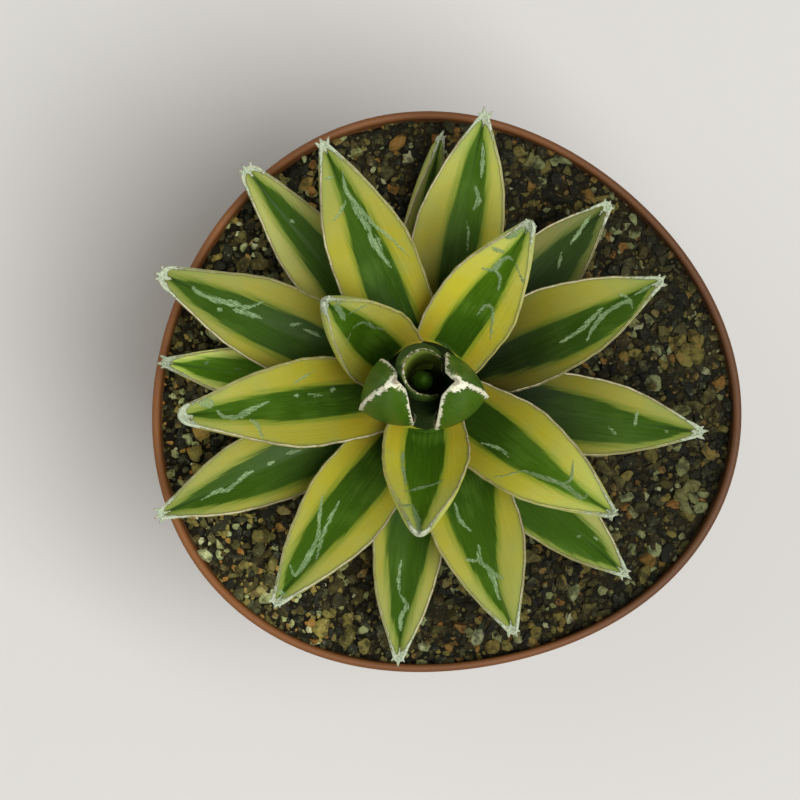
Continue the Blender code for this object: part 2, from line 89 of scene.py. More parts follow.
def soft_min(first: Array, second: Array, rounding: float) -> Array:
    """The smaller of two distances, rounded where they meet."""
    share = np.clip(0.5 + 0.5 * (second - first) / rounding, 0.0, 1.0)
    return second + (first - second) * share - rounding * share * (1 - share)


def ripple(x: float, y: float, z: float) -> float:
    """Smooth noise between about -1 and 1 at a place."""
    return noise.noise(Vector((x, y, z)))


# Shader and geometry graphs


class Value:
    """A socket that can be used in Python expressions, which add Math nodes."""

    def __init__(self, graph: "Graph", socket: bpy.types.NodeSocket) -> None:
        """Keep the graph and the socket."""
        self.graph = graph
        self.socket = socket

    def _math(self, operation: str, *values: Any) -> "Value":
        """Add one Math node on these values."""
        return self.graph.add("ShaderNodeMath", {"operation": operation}, dict(enumerate(values)))

    def __add__(self, other: Any) -> "Value":
        """Sum."""
        return self._math("ADD", self, other)

    def __radd__(self, other: Any) -> "Value":
        """Sum, reflected."""
        return self._math("ADD", other, self)

    def __sub__(self, other: Any) -> "Value":
        """Difference."""
        return self._math("SUBTRACT", self, other)

    def __rsub__(self, other: Any) -> "Value":
        """Difference, reflected."""
        return self._math("SUBTRACT", other, self)

    def __mul__(self, other: Any) -> "Value":
        """Product."""
        return self._math("MULTIPLY", self, other)

    def power(self, exponent: float) -> "Value":
        """This value to a power."""
        return self._math("POWER", self, exponent)

    def higher(self, other: Any) -> "Value":
        """The larger of two values."""
        return self._math("MAXIMUM", self, other)

    def between(self, low: float, high: float, start: float = 0.0, end: float = 1.0) -> "Value":
        """This value eased from low to high onto start to end."""
        values = {"Value": self, "From Min": low, "From Max": high, "To Min": start, "To Max": end}
        return self.graph.add("ShaderNodeMapRange", {"interpolation_type": "SMOOTHSTEP"}, values)


class Graph:
    """A node tree, with short ways to fill it."""

    def __init__(self, tree: bpy.types.NodeTree) -> None:
        """Keep the tree."""
        self.tree = tree

    def add(self, kind: str, settings: dict | None = None, inputs: dict | None = None,
            output: Any = 0) -> Value:
        """Add a node.

        Args:
            kind: the node's type name.
            settings: its properties, set first; "stops" holds the stops of a colour ramp.
            inputs: a value or a link for each socket, by name or index.
            output: the name or index of the socket to return.

        Returns:
            The node's output as a value.
        """
        node = self.tree.nodes.new(kind)
        for key, value in (settings or {}).items():
            if key == "stops":
                self._fill_ramp(node.color_ramp, value)
            else:
                setattr(node, key, value)
        for key, value in (inputs or {}).items():
            socket = node.inputs[key]
            if isinstance(value, Value):
                self.tree.links.new(value.socket, socket)
            elif socket.type == "RGBA" and len(value) == 3:
                socket.default_value = (*value, 1.0)
            else:
                socket.default_value = value
        return Value(self, node.outputs[output]) if node.outputs else Value(self, None)

    @staticmethod
    def _fill_ramp(ramp: bpy.types.ColorRamp, stops: Sequence[tuple[float, Colour]]) -> None:
        """Set the stops of a colour ramp.

        Args:
            ramp: a colour ramp node's ramp.
            stops: the place and the colour of each stop.
        """
        while len(ramp.elements) < len(stops):
            ramp.elements.new(1.0)
        for element, (place, colour) in zip(ramp.elements, stops):
            element.position = place
            element.color = (*colour, 1.0)

    def mix(self, share: Any, first: Any, second: Any) -> Value:
        """Mix two colours, each a value or an RGB triple."""
        settings = {"data_type": "RGBA", "blend_type": "MIX", "clamp_factor": True}
        return self.add("ShaderNodeMix", settings, {0: share, 6: first, 7: second}, 2)

    def attribute(self, name: str) -> Value:
        """A number kept on the mesh's points."""
        return self.add("ShaderNodeAttribute", {"attribute_name": name}, output="Fac")

    def place(self) -> Value:
        """The place of the shaded point in the part's frame, in metres."""
        return self.add("ShaderNodeTexCoord", output="Object")

    def vector(self, x: Any, y: Any, z: Any) -> Value:
        """A vector from three numbers."""
        return self.add("ShaderNodeCombineXYZ", None, {0: x, 1: y, 2: z})

    def part(self, vector: Value, axis: str) -> Value:
        """One number of a vector: X, Y or Z."""
        return self.add("ShaderNodeSeparateXYZ", None, {0: vector}, axis)

    def scaled(self, colour: Value, factor: Value) -> Value:
        """A colour made lighter or darker."""
        return self.add("ShaderNodeVectorMath", {"operation": "SCALE"}, {0: colour, "Scale": factor})

    def stretched(self, vector: Value, upright: float) -> Value:
        """A place with its height scaled, so that noise is drawn out upright."""
        return self.add("ShaderNodeMapping", None, {"Vector": vector, "Scale": (1, 1, upright)})

    def principled(self, colour: Any, roughness: Any, specular: float = 0.5, normal: Value | None = None,
                   others: dict | None = None) -> Value:
        """A Principled shader.

        Args:
            colour: its base colour.
            roughness: its roughness.
            specular: its specular level.
            normal: its bent normal, if it has one.
            others: values of further inputs, by name.

        Returns:
            The shader's output.
        """
        values = {"Base Color": colour, "Roughness": roughness, "Specular IOR Level": specular}
        if normal is not None:
            values["Normal"] = normal
        return self.add("ShaderNodeBsdfPrincipled", None, {**values, **(others or {})})

    def grain(self, vector: Value, scale: float, detail: float = 2.0, roughness: float = 0.5) -> Value:
        """Noise between 0 and 1."""
        values = {"Vector": vector, "Scale": scale, "Detail": detail, "Roughness": roughness}
        return self.add("ShaderNodeTexNoise", None, values)

    def bump(self, height: Any, distance: float, strength: float = 1.0) -> Value:
        """A normal bent by a height."""
        values = {"Height": height, "Distance": distance, "Strength": strength}
        return self.add("ShaderNodeBump", None, values)


class Finish:
    """Base of every finish: a named Principled material."""

    name = "plain"

    def material(self) -> bpy.types.Material:
        """Build the material.

        Returns:
            The material, named after the finish.
        """
        made = bpy.data.materials.new(self.name)
        made.use_nodes = True
        made.node_tree.nodes.clear()
        graph = Graph(made.node_tree)
        shader = self.shade(graph)
        graph.add("ShaderNodeOutputMaterial", None, {"Surface": shader})
        return made

    def shade(self, graph: Graph) -> Value:
        """Return the surface shader."""
        raise NotImplementedError


class LeafGrain:
    """The noises that the parts of a leaf's finish share."""

    def __init__(self, graph: Graph) -> None:
        """Draw the streaks along the blade and the rest in the part's frame.

        Args:
            graph: the material's node tree.
        """
        place = graph.place()
        grown = graph.vector(graph.attribute("along_mm") * 0.045, graph.attribute("across_mm") * 0.9,
                             graph.attribute("pale") * 7.0)
        self.streak = graph.grain(grown, 1.6, 3.0)
        self.fine_streak = graph.grain(grown, 6.0, 2.0)
        self.mottle = graph.grain(place, 210.0, 2.0)
        self.ragged = graph.grain(place, 1300.0, 3.0, 0.6)
        self.crumbs = graph.grain(place, 3200.0, 2.0, 0.6)
        self.cloud = graph.grain(place, 95.0, 2.0)


@dataclass(frozen=True)
class LeafFinish(Finish):
    """Waxy green and yellow leaf with white horny edges and pale bud imprints."""

    name: str = "variegated leaf"
    green: Colour = (0.046, 0.114, 0.003)
    deep_green: Colour = (0.018, 0.050, 0.002)
    fringe_green: Colour = (0.150, 0.255, 0.018)
    yellow: Colour = (0.470, 0.430, 0.032)
    pale_yellow: Colour = (0.450, 0.465, 0.135)
    tip_green: Colour = (0.330, 0.400, 0.100)
    ochre: Colour = (0.360, 0.270, 0.014)
    light_green: Colour = (0.090, 0.190, 0.016)
    horn: Colour = (0.360, 0.430, 0.300)
    bright_horn: Colour = (0.640, 0.670, 0.500)
    cream: Colour = (0.520, 0.480, 0.300)
    brown: Colour = (0.130, 0.085, 0.045)
    imprint: Colour = (0.185, 0.290, 0.125)
    bright_imprint: Colour = (0.350, 0.460, 0.245)
    tan: Colour = (0.270, 0.165, 0.070)
    # Painted light for the hollow of the rolled bud leaf.
    hollow_painted_light: Colour = (0.300, 0.400, 0.050)
    white_horn: Colour = (0.860, 0.850, 0.640)

    def shade(self, graph: Graph) -> Value:
        """Lay the flesh, the imprints and the horny edge over one another.

        Args:
            graph: the material's node tree.

        Returns:
            The surface shader's output.
        """
        grain = LeafGrain(graph)
        tip = graph.attribute("tip_mm")
        colour = self._flesh(graph, grain, tip)
        marked, colour = self._imprints(graph, grain, colour)
        horny, colour = self._horn(graph, grain, tip, colour)
        relief = grain.fine_streak * 0.22 + grain.streak * 0.5 + marked * 0.45
        relief = relief + horny * (grain.ragged + grain.crumbs) * 0.7
        rough = 0.38 + grain.mottle * 0.12 + horny * 0.25 + marked * 0.18 + graph.attribute("dull") * 0.45
        return graph.principled(colour, rough, 0.22, graph.bump(relief, 0.00024, 0.8),
                                {"Subsurface Weight": 0.06, "Subsurface Scale": 0.002})

    def _flesh(self, graph: Graph, grain: LeafGrain, tip: Value) -> Value:
        """Mix the green stripe and the yellow bands beside it.

        Args:
            graph: the material's node tree.
            grain: the leaf's noises.
            tip: the distance from the blade's tip, in millimetres.

        Returns:
            The colour of the flesh.
        """
        cloud, streak, fine_streak = grain.cloud, grain.streak, grain.fine_streak
        blotch = grain.mottle - 0.5
        across = graph.attribute("across_mm")
        edge = graph.attribute("edge_mm")
        share = graph.attribute("share")
        pale = graph.attribute("pale")
        aged = share.between(0.25, 0.95) * 0.62 + pale * 0.55 + blotch * 0.6
        band = graph.mix(aged, self.yellow, self.pale_yellow)
        band = graph.mix(share.between(0.42, 0.08) * 0.75 + (cloud - 0.5) * 0.5, band, self.ochre)
        greened = tip.between(19.0, 2.0) * 0.62 + edge.between(1.6, 0.1) * 0.34 + (cloud - 0.5) * 1.1
        band = graph.mix((greened + blotch * 0.5) * (1 - pale * 0.55), band, self.tip_green)
        depth = share.between(0.62, 0.05) * 0.80 + (streak - 0.5) * 1.1
        green = graph.mix(depth, self.green, self.deep_green)
        lively = (cloud + streak * 0.6).between(0.78, 1.02) * 0.55 + fine_streak.between(0.52, 0.75) * 0.25
        green = graph.mix(lively, green, self.light_green)
        border = graph.attribute("stripe_mm") + (streak - 0.5) * 1.7 + (fine_streak - 0.5) * 0.45
        fringe = border.between(-1.65, 0.10) * (0.42 + fine_streak * 0.60)
        colour = graph.mix(fringe, band, self.fringe_green)
        colour = graph.mix(border.between(-0.26, 0.40), colour, green)
        fold = (across * across + 0.0025).power(0.5).between(0.46, 0.05) * tip.between(17.0, 5.0) * 0.80
        # The flesh is scaled by a per-leaf factor that carries painted light and painted shade as well as the
        # leaf's own dullness.
        colour = graph.scaled(graph.mix(fold, colour, self.deep_green), graph.attribute("tone"))
        # Painted light in the rolled leaf's hollow, lighter further in, where the roll shades it.
        return graph.mix(graph.attribute("hollow") * tip.between(1.5, 9.0), colour, self.hollow_painted_light)

    def _imprints(self, graph: Graph, grain: LeafGrain, colour: Value) -> tuple[Value, Value]:
        """Lay the pale imprints of the bud over the flesh.

        Args:
            graph: the material's node tree.
            grain: the leaf's noises.
            colour: the colour of the flesh.

        Returns:
            How strong an imprint is, and the colour with the imprints.
        """
        tattered = (grain.ragged - 0.5) * 0.75 + (grain.crumbs - 0.5) * 0.30
        mark = graph.attribute("mark_mm") + (tattered + (grain.fine_streak - 0.5) * 0.70)
        marked = mark.between(0.10, -0.10) * (0.84 + (grain.mottle - 0.5) * 0.9)
        marked = marked * (1 - grain.fine_streak.between(0.55, 0.63) * 0.60)
        imprint = graph.mix(grain.crumbs.between(0.45, 0.62), self.imprint, self.bright_imprint)
        return marked, graph.mix(marked, colour, imprint)

    def _horn(self, graph: Graph, grain: LeafGrain, tip: Value, colour: Value) -> tuple[Value, Value]:
        """Lay the horny edge, cap and spines over the blade, with a brown line beside them.

        Args:
            graph: the material's node tree.
            grain: the leaf's noises.
            tip: the distance from the blade's tip, in millimetres.
            colour: the colour of the blade so far.

        Returns:
            Where the horn is, and the colour with it.
        """
        ragged, crumbs = grain.ragged, grain.crumbs
        tipped = tip.between(9.0, 2.0)
        spine = graph.attribute("spine")
        tatter = graph.attribute("tatter")
        white = graph.attribute("white")
        border = graph.attribute("horn_mm") + (ragged - 0.5) * (tipped * 0.95 + tatter)
        border = border + (crumbs - 0.5) * (tipped * 0.50 + tatter * 0.5)
        lined = border.between(0.28, 0.05) * (tipped * 0.45 + 0.28 + (grain.mottle - 0.5) * 0.7)
        colour = graph.mix(lined * (1 - white * 0.75), colour, self.brown)
        horny = border.between(0.05, -0.05).higher(spine.between(0.0, 0.02))
        horn = graph.mix(crumbs.between(0.42, 0.66) * 0.9, self.horn, self.bright_horn)
        horn = graph.mix(tipped.between(0.8, 0.0), horn, self.cream)
        horn = graph.mix(white * (crumbs.between(0.30, 0.55) * 0.6 + 0.4), horn, self.white_horn)
        dried = graph.attribute("dry") * (ragged.between(0.44, 0.58) * 0.8 + 0.2)
        horn = graph.mix(dried, horn, self.tan)
        horn = graph.mix(ragged.between(0.56, 0.74) * (0.55 - white * 0.20), horn, self.brown)
        worn = grain.cloud.between(0.48, 0.62) * (1 - tipped) * (1 - white)
        horn = graph.mix(worn * 0.45, horn, self.brown)
        horn = graph.mix(spine.between(0.35, 1.0) * 0.85, horn, self.brown)
        return horny, graph.mix(horny, colour, horn)


@dataclass(frozen=True)
class StemFinish(Finish):
    """Pale fibrous flesh of the stem between the leaf bases, with painted shade on its domed top."""

    name: str = "stem flesh"
    pale: Colour = (0.17, 0.24, 0.035)
    dry: Colour = (0.060, 0.075, 0.014)
    crown_painted_shade: Colour = (0.012, 0.024, 0.003)
    crown_shade_start: float = 0.103
    crown_shade_full: float = 0.110

    def shade(self, graph: Graph) -> Value:
        """Mottle the flesh, and paint shade on the domed top that the bud stands in.

        Args:
            graph: the material's node tree.

        Returns:
            The surface shader's output.
        """
        place = graph.place()
        blotch = graph.grain(place, 180.0, 4.0)
        fibre = graph.grain(graph.stretched(place, 0.15), 900.0)
        colour = graph.mix(blotch.between(0.35, 0.65), self.pale, self.dry)
        # Painted shade on the stem's top, in the bud's shadow.
        crown_shaded = graph.part(place, "Z").between(self.crown_shade_start, self.crown_shade_full)
        colour = graph.mix(crown_shaded, colour, self.crown_painted_shade)
        return graph.principled(colour, 0.85, 0.20, graph.bump(fibre, 0.0003, 0.8))


@dataclass(frozen=True)
class SoilFinish(Finish):
    """Dark wet fines between the stones."""

    name: str = "dark soil"
    dark: Colour = (0.007, 0.007, 0.004)
    brown: Colour = (0.024, 0.019, 0.008)
    crumb: Colour = (0.075, 0.062, 0.022)

    def shade(self, graph: Graph) -> Value:
        """Speckle the fines with crumbs.

        Args:
            graph: the material's node tree.

        Returns:
            The surface shader's output.
        """
        place = graph.place()
        patch = graph.grain(place, 140.0, 4.0)
        speck = graph.add("ShaderNodeTexVoronoi", None, {"Vector": place, "Scale": 1100.0}, "Distance")
        tint = graph.grain(place, 700.0, 3.0)
        colour = graph.mix(patch.between(0.35, 0.7), self.dark, self.brown)
        colour = graph.mix(tint.between(0.58, 0.72) * 0.7, colour, self.crumb)
        return graph.principled(colour, 0.93, 0.12, graph.bump(speck + tint * 0.6, 0.0006))


@dataclass(frozen=True)
class StoneFinish(Finish):
    """Stones of many kinds, told apart by a number that each one carries, with painted shade on the pot's
    right side and painted light on its left.
    """

    name: str = "mixed grit"
    stops: tuple[tuple[float, Colour], ...] = (
        (0.00, (0.013, 0.014, 0.009)),
        (0.14, (0.022, 0.023, 0.011)),
        (0.30, (0.052, 0.040, 0.011)),
        (0.44, (0.080, 0.072, 0.018)),
        (0.55, (0.036, 0.042, 0.024)),
        (0.66, (0.125, 0.108, 0.026)),
        (0.76, (0.225, 0.185, 0.042)),
        (0.83, (0.255, 0.118, 0.022)),
        (0.90, (0.190, 0.195, 0.066)),
        (0.96, (0.300, 0.335, 0.145)),
        (1.00, (0.430, 0.430, 0.240)),
    )
    shadow: Colour = (0.014, 0.012, 0.006)
    fleck: Colour = (0.330, 0.320, 0.180)
    # Scales of the stones' colour across the pot: painted shade on its right side, painted light on its left.
    right_shade_scale: float = 0.56
    dry: float = 1.60
    right_shade_from: float = 0.012
    left_light_from: float = -0.050

    def shade(self, graph: Graph) -> Value:
        """Colour each stone by its kind, paint light and shade across the pot, and roughen it.

        Args:
            graph: the material's node tree.

        Returns:
            The surface shader's output.
        """
        place = graph.place()
        kind = graph.attribute("kind")
        pits = graph.grain(place, 1700.0, 3.0, 0.60)
        stain = graph.grain(place, 520.0, 3.0, 0.6)
        colour = graph.add("ShaderNodeValToRGB", {"stops": self.stops}, {"Fac": kind + (stain - 0.5) * 0.05})
        colour = graph.mix(stain.between(0.54, 0.36) * 0.62, colour, self.shadow)
        colour = graph.mix(pits.between(0.42, 0.30) * 0.5, colour, self.shadow)
        colour = graph.mix((pits * stain).between(0.30, 0.44) * 0.30, colour, self.fleck)
        # Painted light on the pot's left side and painted shade on its right.
        painted_side_light = graph.part(place, "X").between(self.right_shade_from, self.left_light_from, self.right_shade_scale, self.dry)
        colour = graph.scaled(colour, painted_side_light)
        return graph.principled(colour, 0.74 + stain * 0.18, 0.20, graph.bump(pits, 0.0004, 0.9))


@dataclass(frozen=True)
class PotFinish(Finish):
    """Thin brown nursery plastic, slightly dusty and scuffed, with painted light on its left side and painted
    shade on its right.
    """

    name: str = "brown nursery plastic"
    brown: Colour = (0.170, 0.064, 0.019)
    dark: Colour = (0.120, 0.045, 0.013)
    dust: Colour = (0.250, 0.165, 0.088)
    # Colours of painted light on the left side and painted shade on the right.
    left_painted_light: Colour = (0.235, 0.088, 0.024)
    right_painted_shade: Colour = (0.088, 0.036, 0.013)
    left_light_reach: Point = (-0.010, -0.055)
    right_shade_reach: Point = (0.005, 0.055)
    side_light_share: float = 0.85

    def shade(self, graph: Graph) -> Value:
        """Vary the plastic, paint light and shade on its two sides, and lay dust and scuffs on it.

        Args:
            graph: the material's node tree.

        Returns:
            The surface shader's output.
        """
        place = graph.place()
        cloud = graph.grain(place, 35.0, 4.0)
        grit = graph.grain(place, 2200.0, 2.0)
        drag = graph.grain(graph.stretched(place, 0.06), 420.0, 3.0, 0.7)
        side = graph.part(place, "X")
        colour = graph.mix(cloud.between(0.35, 0.7) * 0.6, self.brown, self.dark)
        # Painted light on the pot's left side and painted shade on its right.
        colour = graph.mix(side.between(*self.left_light_reach) * self.side_light_share, colour, self.left_painted_light)
        colour = graph.mix(side.between(*self.right_shade_reach) * self.side_light_share, colour, self.right_painted_shade)
        near_foot = graph.part(place, "Z").between(0.0, 0.018).between(1.0, 0.0) * 0.35
        dusty = grit.between(0.62, 0.76) * 0.20 + drag.between(0.60, 0.78) * 0.14 + near_foot * cloud
        colour = graph.mix(dusty, colour, self.dust)
        rough = 0.50 + drag * 0.16 + dusty * 0.25
        return graph.principled(colour, rough, 0.30, graph.bump(drag * 0.6 + grit * 0.25, 0.00012, 0.8))


@dataclass(frozen=True)
class FloorFinish(Finish):
    """Plain pale studio floor."""

    name: str = "pale floor"
    pale: Colour = (0.62, 0.61, 0.59)

    def shade(self, graph: Graph) -> Value:
        """One plain colour."""
        return graph.principled(self.pale, 0.9)


# Meshes


def mesh_object(name: str, vertices: Array, faces: Iterable[Sequence[int]],
                material: bpy.types.Material, attributes: dict[str, Array] | None = None,
                sharp: float | None = None) -> bpy.types.Object:
    """Make a named object from points in millimetres.

    Args:
        name: the object's name.
        vertices: its points, in millimetres.
        faces: point numbers of each face.
        material: its one material.
        attributes: numbers kept on the points, for the material.
        sharp: the angle in degrees past which an edge stays crisp, if any does.

    Returns:
        The object, linked to the scene.
    """
    mesh = bpy.data.meshes.new(name)
    mesh.from_pydata((np.asarray(vertices) * MM).tolist(), [], [list(face) for face in faces])
    for key, values in (attributes or {}).items():
        layer = mesh.attributes.new(key, "FLOAT", "POINT")
        layer.data.foreach_set("value", np.asarray(values, np.float32))
    mesh.validate()
    mesh.shade_smooth()
    if sharp is not None:
        mesh.set_sharp_from_angle(angle=math.radians(sharp))
    mesh.materials.append(material)
    made = bpy.data.objects.new(name, mesh)
    bpy.context.collection.objects.link(made)
    return made


def capped_faces(rows: int, columns: int) -> list[Sequence[int]]:
    """Faces of a closed body that is stored as rings of points and then a point for each end.

    Args:
        rows: how many rings there are.
        columns: how many points each ring has.

    Returns:
        The point numbers of each face.
    """
    first_end = rows * columns
    last_ring = first_end - columns
    pairs = [(c, (c + 1) % columns) for c in range(columns)]
    faces: list[Sequence[int]] = [
        (r * columns + a, r * columns + b, (r + 1) * columns + b, (r + 1) * columns + a)
        for r in range(rows - 1) for a, b in pairs]
    faces += [(b, a, first_end) for a, b in pairs]
    faces += [(last_ring + a, last_ring + b, first_end + 1) for a, b in pairs]
    return faces


def bake_nodes(target: bpy.types.Object, modifier: bpy.types.Modifier) -> bpy.types.Object:
    """Turn what a Geometry Nodes modifier makes into the object's plain mesh.

    Args:
        target: the object that has the modifier.
        modifier: its Geometry Nodes modifier.

    Returns:
        The same object, without the modifier.
    """
    evaluated = target.evaluated_get(bpy.context.evaluated_depsgraph_get())
    plain = bpy.data.meshes.new_from_object(evaluated)
    target.modifiers.remove(modifier)
    plain.name = target.name
    target.data = plain
    return target


def adopt(piece: bpy.types.Object, node: str) -> None:
    """Let a finished piece stand for a node of the frame.

    Args:
        piece: the finished piece.
        node: the node that it stands for.
    """
    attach(piece, ROOT)
    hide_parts(node)
    LOG.info("%s stands for %s with %d faces", piece.name, node, len(piece.data.polygons))


# The view from above


@dataclass(frozen=True)
class TopView:
    """The camera over the plant, and where its picture points fall on the part."""

    distance: float = 600.0
    tilt: float = math.radians(3.0)
    rim_height: float = RIM_HEIGHT
    mouth_radius: float = MOUTH_RADIUS
    mouth_centre_px: Point = (441.7, 396.6)
    mouth_radius_px: float = 287.7
    picture_px: float = 800.0
    sensor: float = 36.0

    @property
    def scale(self) -> float:
        """Millimetres to a picture point at the height of the rim."""
        return self.mouth_radius / self.mouth_radius_px

    @property
    def target(self) -> Array:
        """The point at rim height that falls on the picture's middle.

        Returns:
            A place in millimetres.
        """
        middle = self.picture_px / 2
        x = (middle - self.mouth_centre_px[0]) * self.scale
        y = (self.mouth_centre_px[1] - middle) * self.scale
        return np.array([x, y, self.rim_height])

    @property
    def back(self) -> Array:
        """The direction from the target to the camera."""
        return np.array([0.0, -math.sin(self.tilt), math.cos(self.tilt)])

    @property
    def position(self) -> Array:
        """Where the camera stands."""
        return self.target + self.back * self.distance

    def project(self, points: Array) -> Array:
        """Picture points of places in millimetres.

        Args:
            points: places in millimetres.

        Returns:
            The x and y of each one on the picture, in picture points.
        """
        offset = np.asarray(points, float) - self.position
        depth = -(offset @ self.back)
        upward = np.array([0.0, math.cos(self.tilt), math.sin(self.tilt)])
        factor = self.distance / self.scale
        middle = self.picture_px / 2
        return np.stack([middle + factor * offset[..., 0] / depth,
                         middle - factor * (offset @ upward) / depth], -1)

    def add_camera(self) -> None:
        """Put the camera into the scene."""
        data = bpy.data.cameras.new("top camera")
        data.sensor_width = self.sensor
        data.lens = self.sensor * self.distance / (self.picture_px * self.scale)
        data.clip_start = 0.01
        data.clip_end = 20.0
        camera = bpy.data.objects.new("top camera", data)
        camera.location = Vector(self.position) * MM
        camera.rotation_euler = (self.tilt, 0.0, 0.0)
        bpy.context.collection.objects.link(camera)
        bpy.context.scene.camera = camera


# Leaves


class Side(Enum):
    """The faces of a blade that a section's strings run on."""

    UPPER = 0
    EDGE = 1
    LOWER = 2


@dataclass(frozen=True)
class Stroke:
    """One pale imprint on a leaf, as picture points along it and its width in millimetres."""

    points: tuple[Point, ...]
    width: float = 0.8


@dataclass(frozen=True)
class Spine:
    """One horny end spine: how far back and aside it stands, its length and its lean."""

    back: float
    aside: float
    length: float
    lean: float
    rise: float = 0.15
    hook: float = 0.3
    radius: float = 0.50
    sunk: float = 0.35
    least_radius: float = 0.03


@dataclass(frozen=True)
class LeafPlan:
    """Where one open leaf's tip lies from the stem's axis, and how it is shaped and marked."""

    name: str
    azimuth: float
    reach: float
    rise: float
    width: float
    sway: float = 0.0
    roll: float = 0.0
    bow: float = 2.6
    thickness: float = 4.6
    stripe: tuple[float, float] = (0.50, 0.45)
    shift: tuple[float, float] = (0.0, 0.0)
    pale: float = 0.0
    # The next two scale the flesh's colour and darken it towards the base: partly the leaf's own dullness,
    # partly painted light and painted shade.
    tone: float = 1.0
    shade: float = 0.0
    dry: float = 0.0
    end_radius: float = 0.9
    cap: float = 1.5
    spines: tuple[Spine, ...] = ()
    strokes: tuple[Stroke, ...] = ()


BARE = (Spine(1.5, 0.5, 0.15, 0.5), Spine(1.6, -0.6, 0.1, -0.5))
BLUNT = (Spine(1.0, 0.0, 0.5, 0.1), *BARE)
ONE = (Spine(1.2, 0.0, 1.3, 0.0), *BARE)
TWO = (Spine(1.2, 0.1, 1.3, 0.15), Spine(1.6, -0.5, 0.8, -0.4), *BARE)
THREE = (Spine(1.2, 0.1, 1.3, 0.05), Spine(1.6, 0.6, 0.9, 0.35), Spine(1.8, -0.6, 0.9, -0.40), *BARE)
